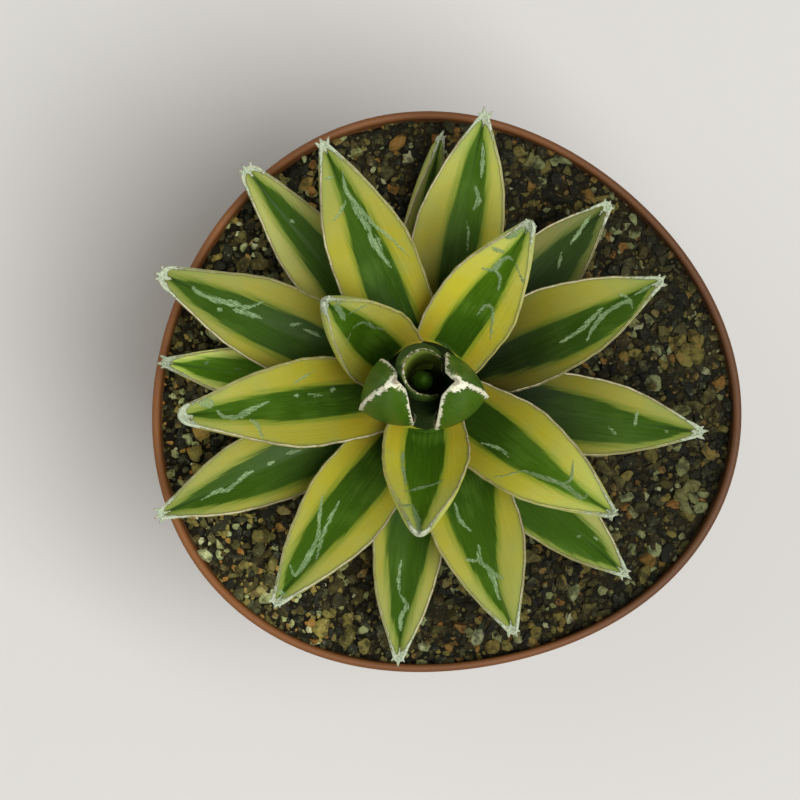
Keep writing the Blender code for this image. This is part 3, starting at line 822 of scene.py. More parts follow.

# The leaves' brightness factors and base darkening below carry painted light and painted shade as well as
# each leaf's own dullness.
LEAF_PLANS: tuple[LeafPlan, ...] = (
    LeafPlan("leaf_01", 142.5, 23.7, 54.0, 17.7, stripe=(0.42, 0.36), thickness=4.1, pale=0.45,
             tone=1.15, end_radius=1.0, cap=2.1, spines=ONE, strokes=(
        Stroke(((325, 300), (333, 298), (340, 298), (337, 306), (341, 313), (345, 320)), 1.1),
        Stroke(((348, 315), (356, 310), (366, 305)), 0.5),
        Stroke(((353, 328), (363, 322), (373, 326), (383, 330)), 0.6),
        Stroke(((351, 333), (347, 345)), 0.5))),
    LeafPlan("leaf_02", 268.5, 30.0, 56.0, 18.6, stripe=(0.44, 0.34), shift=(-0.02, 0.0),
             thickness=4.4, tone=1.40, end_radius=2.0, cap=0.9, dry=0.22, spines=ONE, strokes=(
        Stroke(((404, 452), (403, 464), (405, 475), (406, 486)), 0.7),
        Stroke(((406, 491), (420, 488), (433, 484), (444, 479)), 0.7),
        Stroke(((388, 503), (400, 506), (414, 505)), 0.6),
        Stroke(((413, 507), (417, 518), (420, 533)), 1.2))),
    LeafPlan("leaf_03", 55.0, 36.0, 55.0, 17.7, stripe=(0.40, 0.24), shift=(0.0, -0.08), tone=1.45,
             shade=0.20, end_radius=1.1, cap=2.4, spines=ONE, strokes=(
        Stroke(((513, 260), (507, 258), (500, 262), (493, 270), (483, 269)), 0.9),
        Stroke(((495, 270), (500, 279), (498, 291)), 0.7),
        Stroke(((477, 316), (486, 307), (492, 307), (493, 314), (492, 326), (491, 340)), 0.6),
        Stroke(((515, 262), (522, 278), (530, 284)), 0.6),
        Stroke(((492, 248), (498, 250), (504, 253)), 1.0),
        Stroke(((507, 238), (518, 231), (530, 221)), 1.6))),
    LeafPlan("leaf_04", 189.0, 47.5, 51.0, 18.5, stripe=(0.36, 0.34), tone=0.88, shade=0.20,
             end_radius=2.0, cap=1.9, spines=BARE, strokes=(
        Stroke(((217, 410), (224, 417), (238, 417), (252, 410), (269, 401)), 0.9),
        Stroke(((249, 420), (256, 424), (263, 438)), 0.9),
        Stroke(((199, 403), (206, 402), (213, 406)), 1.5),
        Stroke(((294, 396), (299, 396)), 0.5),
        Stroke(((309, 395), (322, 395)), 0.5),
        Stroke(((330, 391), (336, 390)), 0.5),
        Stroke(((291, 386), (303, 377), (315, 370)), 0.3))),
    LeafPlan("leaf_05", 324.5, 45.5, 47.0, 18.5, stripe=(0.42, 0.20), shift=(0.0, -0.08), tone=1.50,
             shade=0.58, end_radius=0.8, spines=TWO, strokes=(
        Stroke(((524, 471), (536, 476), (553, 481), (569, 488), (581, 498), (587, 494)), 0.8),
        Stroke(((563, 483), (571, 478), (573, 460)), 0.6),
        Stroke(((482, 442), (493, 445), (503, 450), (508, 456)), 0.5),
        Stroke(((495, 478), (509, 475), (524, 471)), 0.35))),
    LeafPlan("leaf_06", 113.0, 50.5, 45.0, 18.0, stripe=(0.46, 0.26), shift=(0.02, -0.10), tone=0.78,
             end_radius=0.6, cap=1.9, spines=THREE, strokes=(
        Stroke(((342, 172), (346, 190), (353, 200), (362, 219),
                (370, 229), (372, 239), (380, 254), (391, 268)), 0.9),
        Stroke(((353, 197), (373, 223), (387, 236), (409, 256)), 0.6),
        Stroke(((346, 201), (341, 210), (334, 221)), 0.7),
        Stroke(((325, 179), (334, 176)), 0.6),
        Stroke(((376, 236), (383, 253)), 0.5))),
    LeafPlan("leaf_07", 236.5, 52.5, 41.5, 17.5, stripe=(0.48, 0.45), shift=(0.02, -0.18), tone=0.83,
             end_radius=1.0, cap=1.3, spines=TWO, strokes=(
        Stroke(((290, 566), (295, 575), (303, 565), (310, 554), (319, 536), (319, 520), (323, 495)), 0.8),
        Stroke(((315, 561), (322, 536), (331, 518), (339, 502)), 0.6),
        Stroke(((279, 591), (285, 594)), 0.9))),
    LeafPlan("leaf_08", 23.0, 51.5, 37.5, 18.0, stripe=(0.40, 0.50), shift=(-0.18, -0.40), tone=0.74,
             shade=0.82, end_radius=0.8, spines=TWO, strokes=(
        Stroke(((560, 342), (580, 331), (594, 317), (603, 307)), 0.8),
        Stroke(((587, 340), (594, 326), (609, 311), (628, 301), (632, 308)), 0.8),
        Stroke(((619, 294), (628, 297)), 0.6),
        Stroke(((634, 295), (645, 289), (655, 283)), 0.5))),
    LeafPlan("leaf_09", 157.5, 56.5, 34.5, 18.0, stripe=(0.50, 0.50), shift=(0.09, 0.10), tone=0.65,
             end_radius=2.2, spines=THREE, strokes=(
        Stroke(((192, 287), (197, 292), (207, 297), (219, 300), (235, 304), (249, 307), (262, 303)), 0.8),
        Stroke(((217, 309), (223, 310)), 0.6),
        Stroke(((233, 310), (247, 313), (261, 318)), 0.7),
        Stroke(((289, 324), (301, 324)), 0.5),
        Stroke(((304, 328), (321, 337)), 0.5))),
    LeafPlan("leaf_10", 290.0, 53.0, 31.5, 18.5, stripe=(0.64, 0.24), shift=(0.08, -0.24), tone=0.88,
             shade=0.15, end_radius=0.8, spines=TWO, strokes=(
        Stroke(((478, 546), (481, 561), (490, 569), (495, 582), (500, 599)), 0.9),
        Stroke(((454, 503), (461, 521), (471, 531)), 0.6),
        Stroke(((493, 571), (503, 579)), 0.7),
        Stroke(((466, 559), (478, 562)), 0.5))),
    LeafPlan("leaf_11", 77.0, 56.0, 30.0, 18.5, stripe=(0.38, 0.42), shift=(-0.12, -0.06), tone=0.92,
             shade=0.60, end_radius=0.6, spines=TWO, strokes=(
        Stroke(((482, 144), (483, 158), (481, 177)), 0.8),
        Stroke(((475, 186), (478, 201), (473, 210)), 0.8),
        Stroke(((467, 222), (468, 233), (467, 250)), 0.4))),
    LeafPlan("leaf_12", 206.5, 59.0, 27.5, 16.0, stripe=(0.66, 0.46), shift=(0.12, 0.10), tone=0.70,
             end_radius=1.0, cap=1.2, spines=THREE, strokes=(
        Stroke(((201, 500), (219, 490), (227, 491), (247, 475), (254, 472)), 0.7),
        Stroke(((267, 465), (274, 462)), 0.5),
        Stroke(((288, 454), (301, 449)), 0.6))),
    LeafPlan("leaf_13", 350.5, 57.5, 23.5, 16.5, stripe=(0.64, 0.50), shift=(0.0, -0.24), tone=0.72,
             shade=0.80, end_radius=0.8, spines=TWO, strokes=(
        Stroke(((609, 427), (616, 434)), 0.6),
        Stroke(((637, 410), (635, 419), (635, 427)), 0.5),
        Stroke(((664, 430), (668, 432)), 0.5))),
    LeafPlan("leaf_14", 129.0, 57.0, 22.5, 14.5, stripe=(0.52, 0.42), shift=(0.0, -0.12), tone=0.80,
             end_radius=2.0, cap=0.9, pale=0.5, spines=THREE, strokes=(
        Stroke(((290, 220), (294, 224)), 0.6),)),
    LeafPlan("leaf_15", 265.0, 56.0, 20.0, 14.5, stripe=(0.72, 0.42), shift=(0.05, -0.08), tone=0.77,
             end_radius=0.9, pale=0.4, spines=ONE, strokes=(
        Stroke(((401, 561), (399, 577), (399, 593)), 0.5),
        Stroke(((399, 593), (407, 606), (401, 618), (401, 630)), 0.7))),
    LeafPlan("leaf_16", 44.5, 54.0, 17.0, 15.5, stripe=(0.66, 0.52), shift=(-0.12, -0.16), tone=0.37,
             end_radius=0.9, pale=0.6, spines=BLUNT, strokes=(
        Stroke(((590, 216), (580, 230), (571, 244)), 0.6),
        Stroke(((562, 253), (558, 268)), 0.5))),
    LeafPlan("leaf_17", 174.5, 53.5, 17.5, 12.0, stripe=(0.60, 0.60), tone=1.95, end_radius=0.8,
             pale=0.9, spines=TWO, strokes=(
        Stroke(((205, 363), (209, 363)), 0.5),
        Stroke(((236, 369), (240, 369)), 0.5))),
    LeafPlan("leaf_18", 317.5, 57.0, 13.5, 15.5, stripe=(0.64, 0.62), shift=(-0.35, -0.18), tone=0.80,
             end_radius=0.6, pale=0.8, spines=ONE, strokes=(
        Stroke(((577, 536), (581, 536)), 0.6),
        Stroke(((594, 538), (598, 540)), 0.5))),
    LeafPlan("leaf_19", 85.5, 52.5, 13.0, 10.0, stripe=(0.45, 0.40), sway=1.6, roll=50.0,
             thickness=3.4, end_radius=0.8, cap=0.4, pale=0.9, tone=0.95, spines=ONE),
)


@dataclass(frozen=True)
class Stem:
    """The stub that carries the leaves, domed at its top."""

    x: float = -4.2
    y: float = 1.2
    radius: float = 12.0
    dome_foot: float = 100.0
    dome_rise: float = 18.0
    soil_level: float = SOIL_LEVEL
    first_azimuth: float = 139.0
    golden_angle: float = 137.508
    oldest_seat: float = 97.2
    seat_pitch: float = 0.88
    leaves: int = len(LEAF_PLANS)
    seat_gap: float = 0.3

    def around(self, radius: float, angle: float) -> Point:
        """The place at a radius from the stem's axis and an angle round it, in radians."""
        return self.x + radius * math.cos(angle), self.y + radius * math.sin(angle)

    def radius_at(self, height: float) -> float:
        """The stem's radius at a height above the soil."""
        share = max(0.0, (height - self.dome_foot) / self.dome_rise)
        return self.radius * math.sqrt(max(0.0, 1 - share * share))

    def dome_height(self, radius: float) -> float:
        """The dome's height at a radius."""
        return self.dome_foot + self.dome_rise * math.sqrt(1 - (radius / self.radius) ** 2)

    def covers(self, points: Array) -> Array:
        """Whether each point lies inside the stem, grown by the seat's gap.

        Args:
            points: places in millimetres.

        Returns:
            True for each one inside.
        """
        away = np.hypot(points[..., 0] - self.x, points[..., 1] - self.y)
        radius = self.radius + self.seat_gap
        share = np.clip((points[..., 2] - self.dome_foot) / (self.dome_rise + self.seat_gap), 0, None)
        return (away / radius) ** 2 + share ** 2 < 1.0

    def seat(self, age: int) -> Array:
        """The point on the stem where a leaf grows.

        Args:
            age: the leaf's number, counted from the youngest.

        Returns:
            A place in millimetres.
        """
        height = self.oldest_seat + self.seat_pitch * (self.leaves - 1 - age)
        angle = math.radians(self.first_azimuth + self.golden_angle * age)
        return np.array([*self.around(self.radius_at(height), angle), height])


@dataclass(frozen=True)
class Horn:
    """The white horny edge of a blade: its reach in millimetres, and how worn, dry and white it is."""

    edge: float = 0.13
    tip_edge: float = 0.42
    cap: float = 1.7
    reach: float = 6.0
    keel: float = 0.0
    dot: float = 0.0
    lobe: float = 2.2
    strand: float = 0.05
    tatter: float = 0.14
    dry: float = 0.0
    white: float = 0.0
    centre: float = 0.12
    unevenness: float = 0.35
    slant: float = 0.30
    rounding: float = 1.5
    keel_rounding: float = 0.9


@dataclass(frozen=True)
class Spots:
    """Places on a blade's skin: share of its length, -1 to 1 across, angle round the margin, and side."""

    share: Array
    across: Array
    angle: Array
    side: Array

    def at(self, share: Array) -> Spots:
        """The same strings at other shares of the length."""
        return replace(self, share=share)

    def repeated(self, count: int, share: Array) -> Spots:
        """The strings repeated, with a share of the length for every place."""
        return Spots(share, *(np.tile(part, count) for part in (self.across, self.angle, self.side)))


@dataclass
class Blade:
    """A thick boat-shaped blade, lofted along a bowed midline."""

    name: str
    foot: Array
    tip: Array
    facing: float
    half_width: float
    thickness: float
    bow: float
    sway: float
    roll: float
    youth: float
    stripe: tuple[float, float]
    shift: tuple[float, float] = (0.0, 0.0)
    # Brightness factor and base darkening of the flesh: painted light and painted shade with the leaf's own
    # dullness.
    tone: float = 1.0
    shade: float = 0.0
    dull: float = 0.0
    spines: tuple[Spine, ...] = ()
    strokes: tuple[Stroke, ...] = ()
    horn: Horn = Horn()
    pale: float = 0.0
    end_radius: float = 0.9
    hollow: float = 0.0
    cup: float = 0.0
    keel_shape: float = 1.2
    keel_shift: float = 0.0
    seed: int = 0
    neck: float = 0.62
    young_neck: float = 0.84
    widest: float = 0.46
    young_widest: float = 0.30
    taper: float = 2.05
    young_blunting: float = 0.45
    end_reach: float = 8.0
    least_width: float = 0.02
    foot_curl: float = 0.3
    young_curl: float = 0.45
    tip_curl: float = 0.5
    most_curl: float = 1.5
    margin: float = 0.42
    bead: float = 0.09
    channel: float = 0.20
    tip_channel: float = 0.40
    rim_bulge: float = 0.17
    bead_reach: float = 0.40
    bead_unevenness: float = 0.45
    fold_softness: float = 0.06
    keel_width: float = 0.45
    keel_height: float = 0.40
    closing_width: float = 1.3
    least_closing: float = 0.12
    stripe_from: float = 0.3
    stripe_span: float = 0.5
    stripe_end: float = 0.12
    seat_share: float = 0.45
    halvings: int = 24
    tip_crowding: float = 0.25
    last_station: float = 0.997
    stations: int = 124
    upper_strings: int = 47
    edge_strings: int = 3
    lower_strings: int = 21

    @property
    def length(self) -> float:
        """The straight distance from the blade's foot to its tip."""
        return float(np.linalg.norm(self.tip - self.foot))

    @property
    def in_bud(self) -> bool:
        """Whether the blade still stands upright in the bud."""
        return self.hollow > 0 or self.cup > 0

    def outline(self, share: Array) -> Array:
        """The half width along the blade.

        Args:
            share: shares of the length.

        Returns:
            A share of the widest half width for each.
        """
        neck = self.neck + (self.young_neck - self.neck) * self.youth
        widest = self.widest + (self.young_widest - self.widest) * self.youth
        rise = np.clip(share / widest, 0, 1)
        fall = np.clip((share - widest) / (1 - widest), 0, 1)
        swelling = neck + (1 - neck) * rise * (2 - rise)
        return swelling * (1 - fall ** (self.taper - self.young_blunting * self.youth))

    def width(self, share: Array) -> Array:
        """Half width in millimetres, with the end rounded off.

        Args:
            share: shares of the length.

        Returns:
            The half width at each.
        """
        tip = (1 - share) * self.length
        left = np.clip(tip, 0, self.end_radius)
        rounded = np.sqrt(left * (2 * self.end_radius - left))
        rounded = rounded * smooth(self.end_reach, 2.0, tip / self.end_radius)
        return np.maximum(np.hypot(self.half_width * self.outline(share), rounded), self.least_width)

    def midline(self, share: Array) -> tuple[Array, Array, Array, Array]:
        """Follow the midline.

        Args:
            share: shares of the length.

        Returns:
            The places, the sideways, normal and forward directions there.
        """
        chord = self.tip - self.foot
        along = chord / self.length
        side = np.array([-math.sin(self.facing), math.cos(self.facing), 0.0])
        side = side - along * (side @ along)
        side = side / np.linalg.norm(side)
        normal = np.cross(along, side)
        arc = (4 * share * (1 - share))[:, None]
        slope = (4 * (1 - 2 * share))[:, None]
        centre = self.foot + chord * share[:, None] - normal * (self.bow * arc) + side * (self.sway * arc)
        tangent = chord - normal * (self.bow * slope) + side * (self.sway * slope)
        tangent = tangent / np.linalg.norm(tangent, axis=1)[:, None]
        across = side - tangent * (tangent @ side)[:, None]
        across = across / np.linalg.norm(across, axis=1)[:, None]
        up = np.cross(tangent, across)
        turn = (self.roll * share)[:, None]
        turned = across * np.cos(turn) + up * np.sin(turn)
        return centre, turned, np.cross(tangent, turned), tangent

    def curl(self, share: Array) -> Array:
        """The angle from the midline to the margin, seen from the hollow's centre.

        Args:
            share: shares of the length.

        Returns:
            An angle in radians for each.
        """
        if self.cup:
            return np.minimum(2 * self.cup / self.width(share), self.most_curl)
        if self.hollow:
            return self.width(share) / (self.hollow * (0.8 + 0.2 * np.clip(3 * share, 0, 1)))
        opened = self.tip_curl * (1 - 0.5 * self.youth)
        return self.foot_curl + self.young_curl * self.youth + opened * share ** 2

    def depth(self, share: Array) -> Array:
        """The blade's thickness at its middle.

        Args:
            share: shares of the length.

        Returns:
            The thickness in millimetres at each.
        """
        if self.in_bud:
            fullness = self.outline(share) ** 0.7 * np.clip(0.35 + 1.6 * share, 0, 1)
        else:
            fullness = np.clip(0.17 + 1.95 * share, 0, 1) * self.outline(share) ** 0.6
        return self.margin + (self.thickness - self.margin) * fullness

    def roundness(self, share: Array) -> Array:
        """How round the back is: 2 is a bowl and 1 is a sharp keel."""
        return self.keel_shape + 0.0 * share if self.in_bud else 2.2 - 0.8 * share

    def strings(self) -> Spots:
        """Lay out the strings that run along the skin.

        Returns:
            Where each string starts.
        """
        spread = np.linspace(-1, 1, self.upper_strings)
        upper = np.sin(spread * math.pi / 2) * 0.35 + spread * 0.65
        bend = np.linspace(0, math.pi, self.edge_strings + 2)[1:-1]
        back = np.linspace(1, -1, self.lower_strings + 2)[1:-1]
        across = np.concatenate([upper, np.full(len(bend), 1.0), back, np.full(len(bend), -1.0)])
        angle = np.concatenate([np.zeros(len(upper)), bend, np.zeros(len(back)), math.pi - bend])
        sides = np.concatenate([np.full(len(upper), Side.UPPER.value), np.full(len(bend), Side.EDGE.value),
                                np.full(len(back), Side.LOWER.value), np.full(len(bend), Side.EDGE.value)])
        return Spots(np.zeros(len(across)), across, angle, sides)

    def points(self, spots: Spots) -> Array:
        """Work out places on the blade's skin.

        Args:
            spots: where the points lie on it.

        Returns:
            One place in millimetres for each point.
        """
        centre, sideways, normal, _ = self.midline(spots.share)
        hand = np.sign(spots.across)
        plain = self.width(spots.share)
        width = plain * (1 + self._wobble(spots.share, hand) * np.abs(spots.across) ** 3)
        curl = self.curl(spots.share)
        closing = np.clip(plain / self.closing_width, self.least_closing, 1)
        reach = width / curl + self.section(spots, width) * closing
        out = np.where(spots.side == Side.EDGE.value, self.rim_bulge * np.sin(spots.angle) * hand, 0.0)
        turn = curl * spots.across
        x = reach * np.sin(turn) + out * closing * np.cos(turn)
        y = width / curl - reach * np.cos(turn) + out * closing * np.sin(turn)
        return centre + sideways * x[:, None] + normal * y[:, None]

    def section(self, spots: Spots, width: Array) -> Array:
        """Depth of each point behind the curved sheet that the blade's upper face follows.

        Args:
            spots: where the points lie on the skin.
            width: the blade's half width at each point.

        Returns:
            A depth in millimetres, negative where the skin is raised.
        """
        share, across = spots.share, spots.across
        uneven = np.sin(share * 143.0 + self.seed) * np.sin(share * 61.0 + np.sign(across) * 2)
        rough = 1 + self.bead_unevenness * uneven
        from_edge = (1 - np.abs(across)) * width
        bead = self.bead * rough * np.exp(-(from_edge / self.bead_reach) ** 2)
        bead = bead * (1 + smooth(0.7, 0.97, share))
        channel = 0.0 if self.in_bud else self.channel + self.tip_channel * smooth(0.35, 0.9, share)
        soft = np.sqrt(across ** 2 + self.fold_softness ** 2) - self.fold_softness
        upper = -(bead + channel * width * np.clip(soft - across ** 2, 0, None))
        shifted = across - self.keel_shift * (1 - across ** 2)
        fullness = 1 - np.abs(shifted) ** self.roundness(share)
        lower = self.margin + (self.depth(share) - self.margin) * fullness
        if self.horn.keel:
            ridge = np.exp(-(self.from_keel(spots) / self.keel_width) ** 2)
            lower = lower + self.keel_height * rough * (ridge * smooth(0.32, 0.5, share))
        half_rim = (self.margin + self.bead) / 2
        rim = self.margin / 2 - self.bead / 2 - half_rim * np.cos(spots.angle)
        edge_or_lower = np.where(spots.side == Side.LOWER.value, lower, rim)
        return np.where(spots.side == Side.UPPER.value, upper, edge_or_lower)

    def _wobble(self, share: Array, hand: Array) -> Array:
        """A slight waviness of each margin.

        Args:
            share: shares of the length.
            hand: which margin each point is near, -1 or 1.

        Returns:
            How much wider the blade is there, as a share.
        """
        low = np.sin(share * 15.0 + self.seed * 1.7 + hand * 2.1) * 0.018
        high = np.sin(share * 57.0 + self.seed * 2.9 + hand * 4.3) * 0.006
        return low + high

    def from_keel(self, spots: Spots) -> Array:
        """Distance in millimetres from the keel, measured round the back."""
        share = spots.share
        return np.abs(spots.across) * (self.width(share) + self.depth(share) * self.curl(share))

    def start_shares(self, stem: Stem, strings: Spots) -> Array:
        """Find where every string leaves the stem.

        Args:
            stem: the stem that the blade is seated on.
            strings: the strings of the skin.

        Returns:
            One share of the length for each string.
        """
        low = strings.share
        high = np.full(len(low), self.seat_share)
        for _ in range(self.halvings):
            middle = (low + high) / 2
            inside = stem.covers(self.points(strings.at(middle)))
            low = np.where(inside, middle, low)
            high = np.where(inside, high, middle)
        return high

    def build(self, stem: Stem, view: TopView, material: bpy.types.Material) -> bpy.types.Object:
        """Loft the blade, mark it and add its spines.

        Args:
            stem: the stem that it is seated on.
            view: the view in which the imprints' points are given.
            material: the leaf's finish.

        Returns:
            The leaf as one object.
        """
        strings = self.strings()
        start = self.start_shares(stem, strings)
        steps = np.linspace(0, 1, self.stations)
        crowded = steps * (1 - self.tip_crowding) + self.tip_crowding * np.sin(steps * math.pi / 2)
        steps = crowded * self.last_station
        rows, columns = len(steps), len(start)
        shares = (start[None, :] + (1 - start[None, :]) * steps[:, None]).reshape(-1)
        spots = strings.repeated(rows, shares)
        skin = self.points(spots)
        values = self.measures(view, skin, spots)
        vertices = np.concatenate([skin, [skin[:columns].mean(axis=0), self.tip]])
        ends = {"tip_mm": [self.length, 0], "horn_mm": [2, -1], "share": [0, 1], "edge_mm": [3, 0]}
        values = {key: np.append(part, ends.get(key, [part[0], part[-1]])) for key, part in values.items()}
        faces = capped_faces(rows, columns)
        for spine in self.spines:
            vertices, faces, values = self._add_spine(spine, vertices, faces, values)
        made = mesh_object(f"{self.name}_blade", vertices, faces, material, values)
        face_outwards(made)
        return made

    def measures(self, view: TopView, skin: Array, spots: Spots) -> dict[str, Array]:
        """Work out the numbers that the finish reads at every point.

        Args:
            view: the view in which the imprints' points are given.
            skin: the points' places in millimetres.
            spots: where they lie on the skin.

        Returns:
            One array for each of the finish's attributes.
        """
        share, across = spots.share, spots.across
        width = self.width(share)
        along = share * self.length
        sideways = across * width
        tip = self.length - along
        inward = (1 - np.abs(across)) * width
        rim = self.margin + self.bead
        down = rim * (1 - np.cos(np.where(across > 0, spots.angle, math.pi - spots.angle))) / 2
        upper = spots.side == Side.UPPER.value
        edge = np.where(spots.side == Side.EDGE.value, -down, -self.margin - self.bead - inward)
        edge = np.where(upper, inward, edge)
        grown = (share - self.stripe_from) / self.stripe_span
        fraction = self.stripe[0] + (self.stripe[1] - self.stripe[0]) * grown
        middle = (self.shift[0] + (self.shift[1] - self.shift[0]) * grown) * width
        ending = self.stripe_end + (1 - self.stripe_end) * smooth(0.5, 9.0, tip)
        stripe = fraction * width * ending - np.abs(sideways - middle * ending)
        return {
            "along_mm": along,
            "across_mm": sideways,
            "edge_mm": edge,
            "tip_mm": tip,
            "stripe_mm": stripe,
            "horn_mm": self.horn_distance(spots, edge),
            "mark_mm": self.mark_distance(view, skin, along, sideways, upper),
            "share": share,
            "pale": np.full(len(skin), self.pale),
            "spine": self.horn.dot * smooth(1.2, 0.5, tip),
            "tatter": np.full(len(skin), self.horn.tatter),
            "dry": np.full(len(skin), self.horn.dry),
            "white": np.full(len(skin), self.horn.white),
            "dull": np.full(len(skin), self.dull),
            "hollow": upper * float(self.hollow > 0),
            # The flesh's brightness carries painted light and painted shade, and the shade factor paints it
            # darker towards the base.
            "tone": self.tone * (1 - self.shade * smooth(0.85, 0.15, share)),
        }

    def horn_distance(self, spots: Spots, edge: Array) -> Array:
        """Distance from each point to the border of the horny edge.

        Args:
            spots: where the points lie on the skin.
            edge: their distances in from the margin, in millimetres.

        Returns:
            A distance in millimetres, negative in the horn.
        """
        width = self.width(spots.share)
        along = spots.share * self.length
        tip = self.length - along
        hand = np.sign(spots.across)
        near = smooth(self.horn.reach, 1.0, tip)
        uneven = self.horn.unevenness * np.sin(along * 2.1 + self.seed + 2 * hand)
        uneven = 1 + uneven * np.sin(along * 0.73 + self.seed)
        reach = (self.horn.edge + (self.horn.tip_edge - self.horn.edge) * near ** 2) * uneven
        skewed = self.horn.cap * (uneven + self.horn.slant * hand * math.sin(self.seed * 2.3 + 1))
        horn = soft_min(np.abs(edge + self.horn.centre) - reach, tip - skewed, self.horn.rounding)
        flesh = self.lobes(width - reach, np.abs(spots.across * width), tip, skewed)
        horn = np.where(spots.side == Side.UPPER.value, np.minimum(horn, flesh), horn)
        if self.horn.keel:
            ridge = self.from_keel(spots) - self.horn.keel * uneven + 3 * smooth(0.50, 0.38, spots.share)
            ridged = soft_min(horn, ridge, self.horn.keel_rounding)
            horn = np.where(spots.side == Side.LOWER.value, ridged, horn)
        return horn

    def lobes(self, limit: Array, sideways: Array, tip: Array, cap: Array) -> Array:
        """How deep each point lies in the two rounded lobes of flesh beside the fold.

        Args:
            limit: the distance from the fold where the horny margin starts.
            sideways: each point's distance from the fold.
            tip: its distance from the blade's tip.
            cap: the length of the horny cap there.

        Returns:
            A distance in millimetres, negative in the horn.
        """
        strand = self.horn.strand - 1.8 * smooth(cap + 0.8, cap + 4.5, tip)
        closing = np.clip((tip - cap) / self.horn.lobe, 0, 1)
        half = (limit - strand) / 2
        return half * np.sqrt(1 - (1 - closing) ** 2) - np.abs(sideways - (limit + strand) / 2)

    def mark_distance(self, view: TopView, skin: Array, along: Array, sideways: Array,
                      upper: Array) -> Array:
        """Distance from each point to the nearest imprint's border.

        Args:
            view: the view in which the imprints' points are given.
            skin: the points' places in millimetres.
            along: their distances along the blade.
            sideways: their distances from its midline.
            upper: which of them lie on its upper face.

        Returns:
            A distance in millimetres, negative inside an imprint.
        """
        result = np.full(len(skin), NO_MARK)
        seen = np.nonzero(upper)[0]
        picture = view.project(skin[seen])
        flat = np.stack([along[seen], sideways[seen]], -1)
        for number, stroke in enumerate(self.strokes):
            nearest = [np.argmin(((picture - np.array(point)) ** 2).sum(-1)) for point in stroke.points]
            path = flowing_line(flat[nearest])
            run = np.linspace(0, 1, len(path))
            breadth = np.sin(run * math.pi) ** 0.6 * 0.65 + 0.25
            breadth = breadth * (1 + 0.35 * np.sin(run * 23.0 + number * 2.3) * np.sin(run * 9.0 + self.seed))
            half = stroke.width * 0.72 * breadth
            for first, second, near, far in zip(path, path[1:], half, half[1:]):
                leg = second - first
                share = np.clip(((flat - first) @ leg) / (float(leg @ leg) + 1e-9), 0, 1)
                away = np.linalg.norm(flat - first - share[:, None] * leg, axis=1)
                result[seen] = np.minimum(result[seen], away - near - (far - near) * share)
        return result

    def _add_spine(self, spine: Spine, vertices: Array, faces: list,
                   values: dict[str, Array]) -> tuple[Array, list, dict[str, Array]]:
        """Add one curved cone with its root sunk into the blade's end.

        Args:
            spine: how the spine stands.
            vertices: the blade's points so far.
            faces: its faces so far.
            values: its attributes so far.

        Returns:
            The points, the faces and the attributes with the spine added.
        """
        rings, sides = 8, 8
        centre, side, normal, tangent = (part[0] for part in self.midline(np.array([1.0])))
        root = centre - tangent * spine.back + side * spine.aside - normal * spine.sunk
        ahead = tangent + side * spine.lean + normal * spine.rise
        ahead = ahead / np.linalg.norm(ahead)
        other = np.cross(ahead, side)
        total = spine.back + spine.length
        turn = np.arange(sides) * math.tau / sides
        ring_places = []
        for ring in range(rings):
            share = ring / rings
            place = root + ahead * (total * share) + normal * (spine.hook * share ** 2)
            radius = spine.radius * (1 - share) ** 0.7 + spine.least_radius
            around = np.cos(turn)[:, None] * side + np.sin(turn)[:, None] * other
            ring_places.append(place + radius * around)
        start = len(vertices)
        apex = root + ahead * total + normal * spine.hook
        stack = np.concatenate(ring_places + [np.stack([root, apex])])
        added = [tuple(start + k for k in face) for face in capped_faces(rings, sides)]
        run = np.append(np.repeat(np.arange(rings) / rings, sides), [0, 1])
        grown = {key: np.append(part, np.full(len(stack), part[-1])) for key, part in values.items()}
        outside = np.clip(total * run - spine.back, 0, None) / max(spine.length, 0.1)
        grown["spine"][start:] = SPINE_FOOT + (1 - SPINE_FOOT) * outside
        grown["mark_mm"][start:] = NO_MARK
        return np.concatenate([vertices, stack]), faces + added, grown


def flowing_line(knots: Array, steps: int = 5) -> Array:
    """A smooth line through points.

    Args:
        knots: the points that it runs through.
        steps: how many pieces each stretch is cut into.

    Returns:
        The line's points.
    """
    padded = np.concatenate([[2 * knots[0] - knots[1]], knots, [2 * knots[-1] - knots[-2]]])
    line = []
    for a, b, c, d in zip(padded, padded[1:], padded[2:], padded[3:]):
        for step in range(steps):
            t = step / steps
            line.append(0.5 * (2 * b + (c - a) * t + (2 * a - 5 * b + 4 * c - d) * t ** 2
                               + (3 * b - a - 3 * c + d) * t ** 3))
    return np.array(line + [knots[-1]])


def face_outwards(made: bpy.types.Object) -> None:
    """Point every face of a closed body outwards.

    Args:
        made: the body's object.
    """
    body = bmesh.new()
    body.from_mesh(made.data)
    bmesh.ops.recalc_face_normals(body, faces=body.faces)
    body.to_mesh(made.data)
    body.free()


@dataclass(frozen=True)
class BudPlan:
    """One upright leaf of the closed bud, which wraps what stands inside it."""

    name: str
    seat_azimuth: float
    seat_radius: float
    turn: float
    tip_azimuth: float
    tip_radius: float
    rise: float
    half_width: float
    thickness: float
    bulge: float
    sway: float
    horn: Horn
    hollow: float = 0.0
    cup: float = 0.0
    keel_shape: float = 1.15
    keel_shift: float = 0.0
    stripe: tuple[float, float] = (4.0, 4.0)
    # Brightness factor of the flesh; below one it is painted shade.
    tone: float = 1.0
    dull: float = 0.0


BUD_HORN = Horn(edge=0.46, tip_edge=0.68, cap=1.2, reach=6.0, keel=0.46, dot=0.8, tatter=1.3, dry=0.10,
                white=1.0)
ROLLED_HORN = Horn(edge=0.08, tip_edge=0.12, cap=0.4, reach=4.0, tatter=0.9, dry=0.9)

